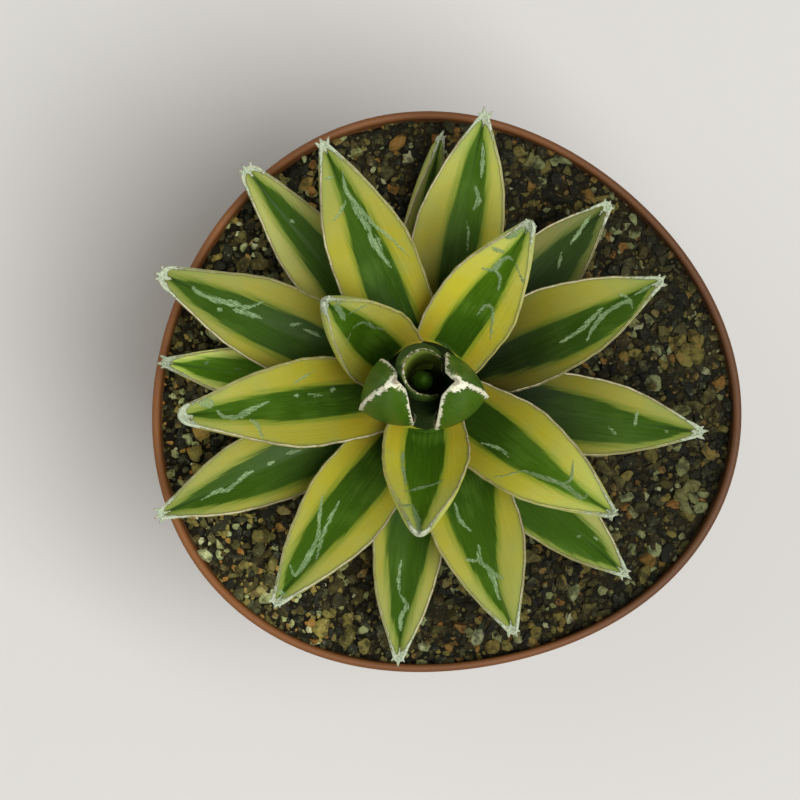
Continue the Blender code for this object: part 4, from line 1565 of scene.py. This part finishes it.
BUD_PLANS: tuple[BudPlan, ...] = (
    BudPlan("bud_leaf_1", 343.0, 5.6, 352.0, 346.0, 6.1, 62.0, 7.9, 6.6, 0.3, -0.85, BUD_HORN, cup=2.5),
    BudPlan("bud_leaf_2", 212.0, 5.5, 206.0, 194.0, 5.3, 62.0, 7.2, 6.0, 2.0, 0.0, BUD_HORN, cup=1.9),
    # The rolled leaf's low brightness factor is painted shade on its wall between the two outer bud leaves.
    BudPlan("bud_leaf_3", 150.0, 2.5, 172.0, 164.0, 3.9, 63.0, 9.6, 2.5, 0.6, 0.0, ROLLED_HORN,
            hollow=4.2, keel_shape=1.5, keel_shift=-0.42, tone=0.60, dull=0.7),
)


@dataclass
class Plant:
    """The rosette: the stem, its open leaves and the bud."""

    view: TopView
    stem: Stem = field(default_factory=Stem)
    seat_depth: float = 3.0
    bud_seat_depth: float = 1.5
    core_rise: float = 52.0

    def build(self) -> None:
        """Make every leaf and the stem."""
        finish = LeafFinish().material()
        for age, plan in enumerate(LEAF_PLANS):
            blade = self.open_blade(age, plan).build(self.stem, self.view, finish)
            adopt(blade, plan.name)
        for plan in BUD_PLANS:
            blade = self.bud_blade(plan).build(self.stem, self.view, finish)
            adopt(blade, plan.name)
        adopt(self.core(finish), "bud_leaf_4")
        adopt(self.stub(), "stem")

    def open_blade(self, age: int, plan: LeafPlan) -> Blade:
        """Set out one open leaf.

        Args:
            age: the leaf's number, counted from the youngest.
            plan: where its tip lies and how it is shaped.

        Returns:
            The blade, not built yet.
        """
        foot = self.stem.seat(age)
        tip = np.array([*self.stem.around(plan.reach, math.radians(plan.azimuth)),
                        self.stem.soil_level + plan.rise])
        chord = tip - foot
        sunk = foot - chord / np.linalg.norm(chord) * self.seat_depth
        return Blade(
            name=plan.name, foot=sunk, tip=tip, facing=math.atan2(chord[1], chord[0]),
            half_width=plan.width / 2, thickness=plan.thickness, bow=plan.bow, sway=plan.sway,
            roll=math.radians(plan.roll), youth=(1 - age / self.stem.leaves) ** 3, stripe=plan.stripe,
            shift=plan.shift, pale=plan.pale, tone=plan.tone, shade=plan.shade, end_radius=plan.end_radius,
            horn=Horn(cap=plan.cap, dry=plan.dry), spines=plan.spines, strokes=plan.strokes, seed=age)

    def bud_blade(self, plan: BudPlan) -> Blade:
        """Set out one leaf of the bud.

        Args:
            plan: where it stands and how it is shaped.

        Returns:
            The blade, not built yet.
        """
        foot = np.array([*self.stem.around(plan.seat_radius, math.radians(plan.seat_azimuth)),
                         self.stem.dome_height(plan.seat_radius) - self.bud_seat_depth])
        tip = np.array([*self.stem.around(plan.tip_radius, math.radians(plan.tip_azimuth)),
                        self.stem.soil_level + plan.rise])
        return Blade(
            name=plan.name, foot=foot, tip=tip, facing=math.radians(plan.turn), half_width=plan.half_width,
            thickness=plan.thickness, bow=plan.bulge, sway=plan.sway, roll=0.0, youth=0.0, stripe=plan.stripe,
            tone=plan.tone, dull=plan.dull, horn=plan.horn, hollow=plan.hollow, cup=plan.cup,
            keel_shape=plan.keel_shape, keel_shift=plan.keel_shift, end_radius=0.5, seed=round(plan.turn))

    def core(self, finish: bpy.types.Material) -> bpy.types.Object:
        """The innermost rolled leaf, a closed spindle with a spiral seam.

        Args:
            finish: the leaves' material.

        Returns:
            The closed spindle as one object.
        """
        foot = self.stem.dome_foot + self.stem.dome_rise + self.stem.seat_gap
        top = self.stem.soil_level + self.core_rise
        rows, columns = 40, 40
        thickness, belly, neck = 2.2, 2.2, 0.45
        seam_depth, seam_width, seam_start, seam_twist = 0.10, 0.25, 0.6, 1.2
        drawn_length, below_tip = 25.0, 20.0
        points = []
        for row in range(rows):
            share = row / rows
            radius = thickness * (neck + belly * share * (1 - share)) * (1 - share ** 4)
            for column in range(columns):
                angle = math.tau * column / columns
                aside = math.remainder(angle - seam_twist * share - seam_start, math.tau)
                seam = seam_depth * math.exp(-(aside / seam_width) ** 2)
                points.append((*self.stem.around(radius * (1 - seam), angle), foot + (top - foot) * share))
        vertices = np.array(points + [(self.stem.x, self.stem.y, foot), (self.stem.x, self.stem.y, top)])
        height = (vertices[:, 2] - foot) / (top - foot)
        values = {
            "along_mm": height * drawn_length,
            "tip_mm": below_tip + (1 - height) * drawn_length,
            "share": height * 0.4,
        }
        for key, number in (("across_mm", 3.0), ("edge_mm", 5.0), ("stripe_mm", 3.0), ("horn_mm", 5.0),
                            ("mark_mm", NO_MARK), ("pale", 0.0), ("spine", 0.0), ("tatter", 0.1),
                            ("dry", 0.0), ("white", 0.0), ("dull", 0.5), ("hollow", 0.0), ("tone", 1.2)):
            values[key] = np.full(len(vertices), number)
        return mesh_object("bud_core", vertices, capped_faces(rows, columns), finish, values)

    def stub(self) -> bpy.types.Object:
        """The stem, with faint rings of old leaf scars.

        Returns:
            The stem as one object.
        """
        rows, columns = 90, 96
        root_radius, root_depth, taper_depth, scarred_depth = 6.0, 24.0, 5.0, 4.0
        scar_depth, scar_spread, scar_pitch, shaved, thinnest = 0.22, 1.3, 0.9, 0.25, 0.1
        soil = self.stem.soil_level
        top = self.stem.dome_foot + self.stem.dome_rise
        profile = [(root_radius, soil - root_depth), (self.stem.radius, soil - taper_depth)]
        for row in range(rows):
            height = soil - scarred_depth + (top - soil + scarred_depth) * (row / rows)
            profile.append((max(2 * thinnest, self.stem.radius_at(height)), height))
        points = []
        for radius, height in profile:
            for column in range(columns):
                angle = math.tau * column / columns
                scar = ripple(math.cos(angle) * scar_spread, math.sin(angle) * scar_spread,
                              height * scar_pitch)
                actual = max(thinnest, radius - shaved + scar_depth * scar)
                points.append((*self.stem.around(actual, angle), height))
        ends = [(self.stem.x, self.stem.y, soil - root_depth), (self.stem.x, self.stem.y, top)]
        vertices = np.array(points + ends)
        faces = capped_faces(len(profile), columns)
        return mesh_object("stem_stub", vertices, faces, StemFinish().material())


# Pot


@dataclass
class Pot:
    """A thin tapered shell that is pulled out of round at its mouth."""

    height: float = RIM_HEIGHT
    mouth_radius: float = MOUTH_RADIUS
    foot_radius: float = 42.5
    band_height: float = 11.0
    band_step: float = 1.3
    band_flare: float = 1.6
    wall: float = 1.1
    lip: float = 1.7
    floor: float = 1.6
    oval: float = 0.0239
    lobed: float = 0.030
    lobed_turn: float = math.radians(17.5)
    pull_power: float = 1.6
    sides: int = 192
    drain_holes: int = 6
    drain_radius: float = 4.0
    drain_circle: float = 29.0
    drill_depth: float = 8.0
    drill_sides: int = 32

    def point(self, radius: float, height: float, angle: float) -> tuple[float, float, float]:
        """A point at this mean radius, pulled out of round towards the mouth.

        Args:
            radius: the mean radius in millimetres.
            height: the height above the pot's underside.
            angle: the angle round the axis, in radians.

        Returns:
            The place in millimetres.
        """
        share = (max(0.0, height) / self.height) ** self.pull_power
        shape = self.oval * math.cos(2 * angle) + self.lobed * math.cos(3 * (angle + self.lobed_turn))
        actual = radius * (1 + share * shape)
        return actual * math.cos(angle), actual * math.sin(angle), height

    def outer(self, height: float) -> float:
        """The plain wall's outer radius.

        Args:
            height: the height above the pot's underside.

        Returns:
            The mean radius in millimetres.
        """
        wall_top = self.height - self.band_height
        top = self.mouth_radius - 2 * self.band_step
        return self.foot_radius + (top - self.foot_radius) * height / wall_top

    def inner(self, height: float) -> float:
        """The pot's inner radius.

        Args:
            height: the height above the pot's underside.

        Returns:
            The mean radius in millimetres.
        """
        foot = self.height - self.band_height
        if height <= foot:
            return self.outer(height) - self.wall
        share = min(1.0, (height - foot) / self.band_height * self.band_flare)
        start = self.outer(foot) - self.wall
        return start + (self.mouth_radius - self.lip - start) * share

    def profile(self) -> list[Point]:
        """Set out the section as radius and height.

        Returns:
            The points from the outside of the floor over the lip to its inside.
        """
        band = self.height - self.band_height
        wall_top = self.outer(band)
        foot = self.foot_radius
        # Rounded foot and plain wall
        path: list[Point] = [(foot - 2.5, 0.0), (foot - 1.3, 0.15), (foot - 0.5, 0.8)]
        path += [(self.outer(h), h) for h in (2.0, 5.0, 12.0, 22.0, 34.0, 46.0, 58.0, 70.0, 79.0, band - 0.4)]
        # Step out to the rim band
        shelf = wall_top + self.band_step
        path += [(wall_top + 0.15, band), (wall_top + 0.8, band + 0.12), (shelf, band + 0.5)]
        path.append((shelf + 0.1, band + 1.0))
        # Band and rounded lip
        top = self.height
        half = self.lip / 2
        path += [(self.mouth_radius - 0.35, top - 4.0), (self.mouth_radius - 0.12, top - 2.0)]
        for step in range(9):
            angle = math.radians(-20 + 27.5 * step)
            path.append((self.mouth_radius - half + half * math.cos(angle),
                         top - half + half * math.sin(angle)))
        # Inside, down to the floor
        path += [(self.mouth_radius - self.lip, top - 2.2), (self.inner(band + 6.0), band + 6.0)]
        path += [(self.inner(h), h) for h in (band + 2.0, band, 60.0, 30.0, 6.0)]
        path += [(foot - 2.4, self.floor + 0.9), (foot - 3.6, self.floor)]
        return path

    def build(self) -> None:
        """Turn the section, close the floor and cut the drain holes."""
        profile = self.profile()
        points = [self.point(radius, height, math.tau * k / self.sides)
                  for radius, height in profile for k in range(self.sides)]
        vertices = np.array(points + [(0.0, 0.0, 0.0), (0.0, 0.0, self.floor)])
        faces = capped_faces(len(profile), self.sides)
        pot = mesh_object("nursery_pot", vertices, faces, PotFinish().material(), sharp=55.0)
        for k in range(self.drain_holes):
            self._drill(pot, math.tau * k / self.drain_holes)
        adopt(pot, "pot")

    def _drill(self, pot: bpy.types.Object, angle: float) -> None:
        """Cut one drain hole through the floor.

        Args:
            pot: the pot's object.
            angle: where the hole lies round the axis, in radians.
        """
        x = self.drain_circle * math.cos(angle) * MM
        y = self.drain_circle * math.sin(angle) * MM
        radius = self.drain_radius * MM
        body = bmesh.new()
        bmesh.ops.create_cone(body, cap_ends=True, segments=self.drill_sides, radius1=radius, radius2=radius,
                              depth=self.drill_depth * MM, matrix=Matrix.Translation((x, y, 0)))
        mesh = bpy.data.meshes.new("drill")
        body.to_mesh(mesh)
        body.free()
        drill = bpy.data.objects.new("drill", mesh)
        bpy.context.collection.objects.link(drill)
        cut = pot.modifiers.new("drain", "BOOLEAN")
        cut.operation = "DIFFERENCE"
        cut.object = drill
        bpy.context.view_layer.objects.active = pot
        bpy.ops.object.modifier_apply(modifier=cut.name)
        bpy.data.objects.remove(drill, do_unlink=True)


# Soil


@dataclass(frozen=True)
class KeyStone:
    """A stone or clump that stands out: its place, mean radius, kind on the finish's scale and lumps."""

    x: float
    y: float
    radius: float
    kind: float
    lumps: int = 1


@dataclass(frozen=True)
class Layer:
    """Loose stones of one size: the least distance between two, and their least and largest mean radius."""

    name: str
    spacing: float
    sizes: Point


LAYERS = (
    Layer("coarse_grit", 3.6, (1.25, 2.4)),
    Layer("medium_grit", 1.9, (0.80, 1.55)),
    Layer("fine_grit", 1.25, (0.45, 0.92)),
)

KNOCKED_PLANES = 5
PLANE_REACH = (0.46, 0.85)
STONE_STRETCH = ((1.0, 1.55), (0.75, 1.10), (0.6, 0.85))
STONE_CREASE = 32.0
LUMP_SIZES = (0.34, 0.60)
LUMP_AWAY = 0.70
LUMP_TURN = 0.4
MIDDLE_LUMP_RISE = 0.35
STONE_PROUD = 0.25
KIND_SPREAD = 0.02
KEY_CREASE = 30.0

KEY_STONES: tuple[KeyStone, ...] = (
    KeyStone(51.5, 10.5, 3.4, 0.76, 9), KeyStone(44.5, 3.0, 1.7, 0.95), KeyStone(38.3, 8.6, 1.1, 0.78),
    KeyStone(53.0, 17.5, 1.3, 0.96, 3), KeyStone(50.5, -14.5, 1.9, 0.93), KeyStone(52.5, -21.0, 3.5, 0.91, 9),
    KeyStone(49.0, -22.5, 1.5, 0.83), KeyStone(34.5, -15.0, 2.0, 0.64), KeyStone(44.0, -12.5, 2.0, 0.70),
    KeyStone(44.5, -32.0, 1.7, 0.93), KeyStone(42.5, -37.0, 1.9, 0.74), KeyStone(19.5, -49.0, 2.4, 0.76, 3),
    KeyStone(25.0, -47.0, 2.2, 0.77, 3), KeyStone(10.5, -52.0, 1.8, 0.76), KeyStone(7.5, -50.0, 1.5, 0.97),
    KeyStone(18.0, -33.0, 2.0, 0.66), KeyStone(-51.5, -11.5, 1.8, 0.74), KeyStone(-45.0, -27.0, 2.0, 0.70, 3),
    KeyStone(-38.0, -29.0, 2.1, 0.64), KeyStone(-38.5, -40.5, 1.7, 0.90), KeyStone(-25.0, -48.5, 1.9, 0.77),
    KeyStone(-9.2, 53.6, 1.5, 0.81), KeyStone(-28.0, 45.0, 1.7, 0.77), KeyStone(-18.0, 51.5, 1.5, 0.89),
    KeyStone(20.5, 49.5, 1.6, 0.94), KeyStone(21.5, 45.5, 1.5, 0.92, 3), KeyStone(31.0, 42.0, 1.4, 0.78),
    KeyStone(16.5, 52.0, 1.5, 0.72),
)


def any_direction(draw: random.Random) -> Vector:
    """A direction drawn evenly from all of them."""
    return Vector((draw.gauss(0, 1), draw.gauss(0, 1), draw.gauss(0, 1))).normalized()


@dataclass
class Soil:
    """The gritty fill: a bed of dark fines with loose stones strewn over it."""

    pot: Pot
    stem: Stem
    level: float = SOIL_LEVEL
    relief: float = 0.7
    mound: float = 0.9
    mound_radius: float = 26.0
    wall_gap: float = 0.4
    floor_gap: float = 0.4
    floor_inset: float = 3.8
    wall_heights: tuple[float, float] = (8.0, 84.0)
    hole_taper: float = 5.0
    hole_depth: float = 24.3
    hole_foot: float = 6.6
    rows: int = 110
    sides: int = 260
    lowest_stone: float = 2.5
    steepest: float = 0.3
    most_stones: float = 4.0e6
    stone_tilt: float = 0.5
    kind_power: float = 1.25
    seed: int = 5
    shapes: int = 7
    stone_corners: int = 20
    key_corners: int = 110

    def height(self, x: float, y: float) -> float:
        """The relief of the bed.

        Args:
            x: the place along the part's X axis, in millimetres.
            y: the place along its Y axis.

        Returns:
            The height above the pot's underside, in millimetres.
        """
        away = math.hypot(x - self.stem.x, y - self.stem.y)
        rise = self.mound * math.exp(-(away / self.mound_radius) ** 2)
        bumps = ripple(x * 0.11, y * 0.11, 3.7) + ripple(x * 0.31, y * 0.31, 2.7)
        return self.level + rise + self.relief * bumps

    def build(self) -> None:
        """Make the bed and the stones."""
        bed = self.bed()
        finish = StoneFinish().material()
        shapes = self.stone_shapes(finish)
        for layer in LAYERS:
            adopt(self.strew(layer, bed, shapes, finish), "soil")
        for shape in list(shapes.objects):
            bpy.data.objects.remove(shape, do_unlink=True)
        bpy.data.collections.remove(shapes)
        adopt(self.key_stones(finish), "soil")
        adopt(bed, "soil")

    def bed(self) -> bpy.types.Object:
        """The closed body of fines, with a hole for the stem.

        Returns:
            The bed as one object.
        """
        hole = self.stem.radius + self.stem.seat_gap
        turns = [math.tau * k / self.sides for k in range(self.sides)]
        underside = self.pot.floor + self.floor_gap
        rows: list[list[tuple[float, float, float]]] = []
        rows.append([self.pot.point(self.pot.foot_radius - self.floor_inset, underside, a) for a in turns])
        for height in self.wall_heights:
            rows.append([self.pot.point(self.pot.inner(height) - self.wall_gap, height, a) for a in turns])
        edge = [self.pot.point(self.pot.inner(self.level) - self.wall_gap, self.level, a) for a in turns]
        middle = [self.stem.around(hole, a) for a in turns]
        for step in range(self.rows + 1):
            share = step / self.rows
            ring = []
            for outer, inner in zip(edge, middle):
                x = outer[0] + (inner[0] - outer[0]) * share
                y = outer[1] + (inner[1] - outer[1]) * share
                rough = 0.22 * ripple(x * 1.1, y * 1.1, 1.0) + 0.10 * ripple(x * 2.6, y * 2.6, 5.0)
                ring.append((x, y, self.height(x, y) + rough))
            rows.append(ring)
        bottom = self.level - self.hole_depth
        rows.append([(x, y, self.level - self.hole_taper) for x, y in middle])
        rows.append([(*self.stem.around(self.hole_foot, a), bottom) for a in turns])
        vertices = np.array([p for row in rows for p in row]
                            + [(0.0, 0.0, underside), (self.stem.x, self.stem.y, bottom)])
        faces = capped_faces(len(rows), self.sides)
        bed = mesh_object("soil_bed", vertices, faces, SoilFinish().material())
        face_outwards(bed)
        return bed

    def stone_shapes(self, finish: bpy.types.Material) -> bpy.types.Collection:
        """A few broken stones of one millimetre mean radius.

        Args:
            finish: the stones' material.

        Returns:
            A collection that holds one object for each shape.
        """
        shapes = bpy.data.collections.new("stone shapes")
        draw = random.Random(self.seed)
        for number in range(self.shapes):
            mesh = self.stone_mesh(f"stone_shape_{number}", draw, self.stone_corners, 1.0)
            mesh.materials.append(finish)
            shapes.objects.link(bpy.data.objects.new(mesh.name, mesh))
        return shapes

    @staticmethod
    def stone_mesh(name: str, draw: random.Random, corners: int, radius: float) -> bpy.types.Mesh:
        """One broken stone: the hull of a few corners, with planes knocked off it.

        Args:
            name: the mesh's name.
            draw: where its random numbers come from.
            corners: how many corners it has at most.
            radius: its mean radius in millimetres.

        Returns:
            The closed mesh, in metres.
        """
        planes = [(any_direction(draw), draw.uniform(*PLANE_REACH)) for _ in range(KNOCKED_PLANES)]
        stretch = Vector([draw.uniform(*limits) for limits in STONE_STRETCH])
        body = bmesh.new()
        for _ in range(corners):
            corner = any_direction(draw)
            for normal, reach in planes:
                corner -= normal * max(0.0, corner.dot(normal) - reach)
            body.verts.new(corner * stretch * radius * MM)
        bmesh.ops.convex_hull(body, input=body.verts)
        bmesh.ops.delete(body, geom=[v for v in body.verts if not v.link_faces], context="VERTS")
        mesh = bpy.data.meshes.new(name)
        body.to_mesh(mesh)
        body.free()
        mesh.shade_smooth()
        mesh.set_sharp_from_angle(angle=math.radians(STONE_CREASE))
        return mesh

    def strew_tree(self, name: str, shapes: bpy.types.Collection,
                   finish: bpy.types.Material) -> bpy.types.NodeTree:
        """Set out the nodes that strew stones over the top of a bed.

        Args:
            name: the tree's name.
            shapes: the stones to pick from, of one millimetre mean radius.
            finish: the stones' material.

        Returns:
            The tree, with the spacing, the sizes and the lowest height as its inputs.
        """
        tree = bpy.data.node_groups.new(name, "GeometryNodeTree")
        face = tree.interface
        face.new_socket("Geometry", in_out="INPUT", socket_type="NodeSocketGeometry")
        for label in ("Spacing", "Smallest", "Largest", "Lowest"):
            face.new_socket(label, in_out="INPUT", socket_type="NodeSocketFloat")
        face.new_socket("Geometry", in_out="OUTPUT", socket_type="NodeSocketGeometry")
        graph = Graph(tree)
        entry = tree.nodes.new("NodeGroupInput")

        def given(label: str) -> Value:
            """One of the tree's inputs."""
            return Value(graph, entry.outputs[label])

        def above(kind: str, limit: Any) -> Value:
            """Whether the upright part of a place or a normal is over a limit."""
            upright = graph.part(graph.add(kind), "Z")
            return graph.add("FunctionNodeCompare", {"operation": "GREATER_THAN"}, {0: upright, 1: limit})

        def drawn(number: int) -> Value:
            """A random number from 0 to 1 for each stone."""
            values = {2: 0.0, 3: 1.0, "Seed": self.seed + number}
            return graph.add("FunctionNodeRandomValue", {"data_type": "FLOAT"}, values, 1)

        top = graph.add("FunctionNodeBooleanMath", {"operation": "AND"}, {
            0: above("GeometryNodeInputNormal", self.steepest),
            1: above("GeometryNodeInputPosition", given("Lowest"))})
        strewn = graph.add("GeometryNodeDistributePointsOnFaces", {"distribute_method": "POISSON"}, {
            "Mesh": given("Geometry"), "Selection": top, "Distance Min": given("Spacing"),
            "Density Max": self.most_stones, "Seed": self.seed}, "Points")
        tilt = self.stone_tilt
        turn = graph.add("FunctionNodeRandomValue", {"data_type": "FLOAT_VECTOR"}, {
            0: (-tilt, -tilt, 0.0), 1: (tilt, tilt, math.tau), "Seed": self.seed + 1}, 0)
        evenly = drawn(2)
        size = given("Smallest") + (given("Largest") - given("Smallest")) * evenly * evenly
        picked = graph.add("GeometryNodeCollectionInfo", None, {
            "Collection": shapes, "Separate Children": True, "Reset Children": True})
        placed = graph.add("GeometryNodeInstanceOnPoints", None, {
            "Points": strewn, "Instance": picked, "Pick Instance": True, "Rotation": turn,
            "Scale": graph.vector(size, size, size)})
        told = graph.add("GeometryNodeStoreNamedAttribute", {"data_type": "FLOAT", "domain": "INSTANCE"}, {
            "Geometry": placed, "Name": "kind", "Value": drawn(3).power(self.kind_power)})
        whole = graph.add("GeometryNodeRealizeInstances", None, {"Geometry": told})
        dressed = graph.add("GeometryNodeSetMaterial", None, {"Geometry": whole, "Material": finish})
        exit_node = tree.nodes.new("NodeGroupOutput")
        tree.links.new(dressed.socket, exit_node.inputs[0])
        return tree

    def strew(self, layer: Layer, bed: bpy.types.Object, shapes: bpy.types.Collection,
              finish: bpy.types.Material) -> bpy.types.Object:
        """Strew stones over the top of the bed by Geometry Nodes.

        Args:
            layer: the new piece's name, and the stones' spacing and sizes.
            bed: the soil to strew them on.
            shapes: the stones to pick from, of one millimetre mean radius.
            finish: the stones' material.

        Returns:
            All the stones as one plain mesh.
        """
        tree = self.strew_tree(layer.name, shapes, finish)
        piece = bed.copy()
        piece.data = bed.data.copy()
        piece.name = layer.name
        bpy.context.collection.objects.link(piece)
        modifier = piece.modifiers.new("strew", "NODES")
        modifier.node_group = tree
        keys = {item.name: item.identifier for item in tree.interface.items_tree}
        values = {"Spacing": layer.spacing * MM, "Smallest": layer.sizes[0], "Largest": layer.sizes[1],
                  "Lowest": (self.level - self.lowest_stone) * MM}
        for label, value in values.items():
            modifier[keys[label]] = value
        return bake_nodes(piece, modifier)

    def key_stones(self, finish: bpy.types.Material) -> bpy.types.Object:
        """The stones that stand out, each at its own place.

        Args:
            finish: the stones' material.

        Returns:
            All of them as one object.
        """
        draw = random.Random(self.seed + 9)
        vertices: list[Vector] = []
        faces: list[tuple[int, ...]] = []
        kinds: list[float] = []
        for stone in KEY_STONES:
            for lump in range(stone.lumps):
                size = stone.radius * (1.0 if stone.lumps == 1 else draw.uniform(*LUMP_SIZES))
                away = stone.radius * (0.0 if lump == 0 else LUMP_AWAY)
                turn = math.tau * lump / stone.lumps + draw.uniform(-LUMP_TURN, LUMP_TURN)
                x = stone.x + away * math.cos(turn)
                y = stone.y + away * math.sin(turn)
                mesh = self.stone_mesh("key_stone", draw, self.key_corners, size)
                on_top = MIDDLE_LUMP_RISE if lump == 0 and stone.lumps > 1 else 0.0
                raised = self.height(x, y) + STONE_PROUD * size + on_top
                place = Matrix.Translation((x * MM, y * MM, raised * MM))
                place = place @ Matrix.Rotation(draw.uniform(0, math.tau), 4, "Z")
                start = len(vertices)
                vertices += [place @ v.co / MM for v in mesh.vertices]
                faces += [tuple(start + k for k in face.vertices) for face in mesh.polygons]
                kinds += [stone.kind + draw.uniform(-KIND_SPREAD, KIND_SPREAD)] * len(mesh.vertices)
                bpy.data.meshes.remove(mesh)
        points = np.array([tuple(v) for v in vertices])
        return mesh_object("key_stones", points, faces, finish, {"kind": np.array(kinds)}, KEY_CREASE)


# Studio


@dataclass
class Studio:
    """Pale floor, soft light and the camera."""

    view: TopView
    floor_half: float = 1.6
    sky: Colour = (1.0, 0.98, 0.91)
    sky_strength: float = 0.34

    def build(self) -> None:
        """Set the stage."""
        half = self.floor_half
        corners = np.array([(-half, -half, 0.0), (half, -half, 0.0), (half, half, 0.0), (-half, half, 0.0)])
        floor = mesh_object("floor", corners / MM, [(0, 1, 2, 3)], FloorFinish().material())
        self.area("key light", (0.40, -0.30, 1.35), 0.75, 19.0)
        self.area("fill light", (-0.9, 0.4, 1.0), 1.1, 3.0)
        world = bpy.data.worlds.new("soft sky")
        world.use_nodes = True
        back = world.node_tree.nodes["Background"]
        back.inputs["Color"].default_value = (*self.sky, 1.0)
        back.inputs["Strength"].default_value = self.sky_strength
        bpy.context.scene.world = world
        bpy.context.scene.view_settings.view_transform = "Standard"
        self.view.add_camera()

    @staticmethod
    def area(name: str, place: tuple[float, float, float], size: float, power: float) -> None:
        """Add one square soft light that looks at the plant.

        Args:
            name: the light's name.
            place: where it hangs, in metres.
            size: the length of its side, in metres.
            power: its power in watts.
        """
        data = bpy.data.lights.new(name, "AREA")
        data.shape = "SQUARE"
        data.size = size
        data.energy = power
        light = bpy.data.objects.new(name, data)
        light.location = place
        plant = Vector((0, 0, 0.1))
        light.rotation_euler = (Vector(place) - plant).to_track_quat("Z", "Y").to_euler()
        bpy.context.collection.objects.link(light)


def main() -> None:
    """Build every piece around the frame."""
    logging.basicConfig(level=logging.INFO, format="%(name)s: %(message)s")
    view = TopView()
    pot = Pot()
    pot.build()
    plant = Plant(view)
    Soil(pot, plant.stem).build()
    plant.build()
    Studio(view).build()


if __name__ == "__main__":
    main()
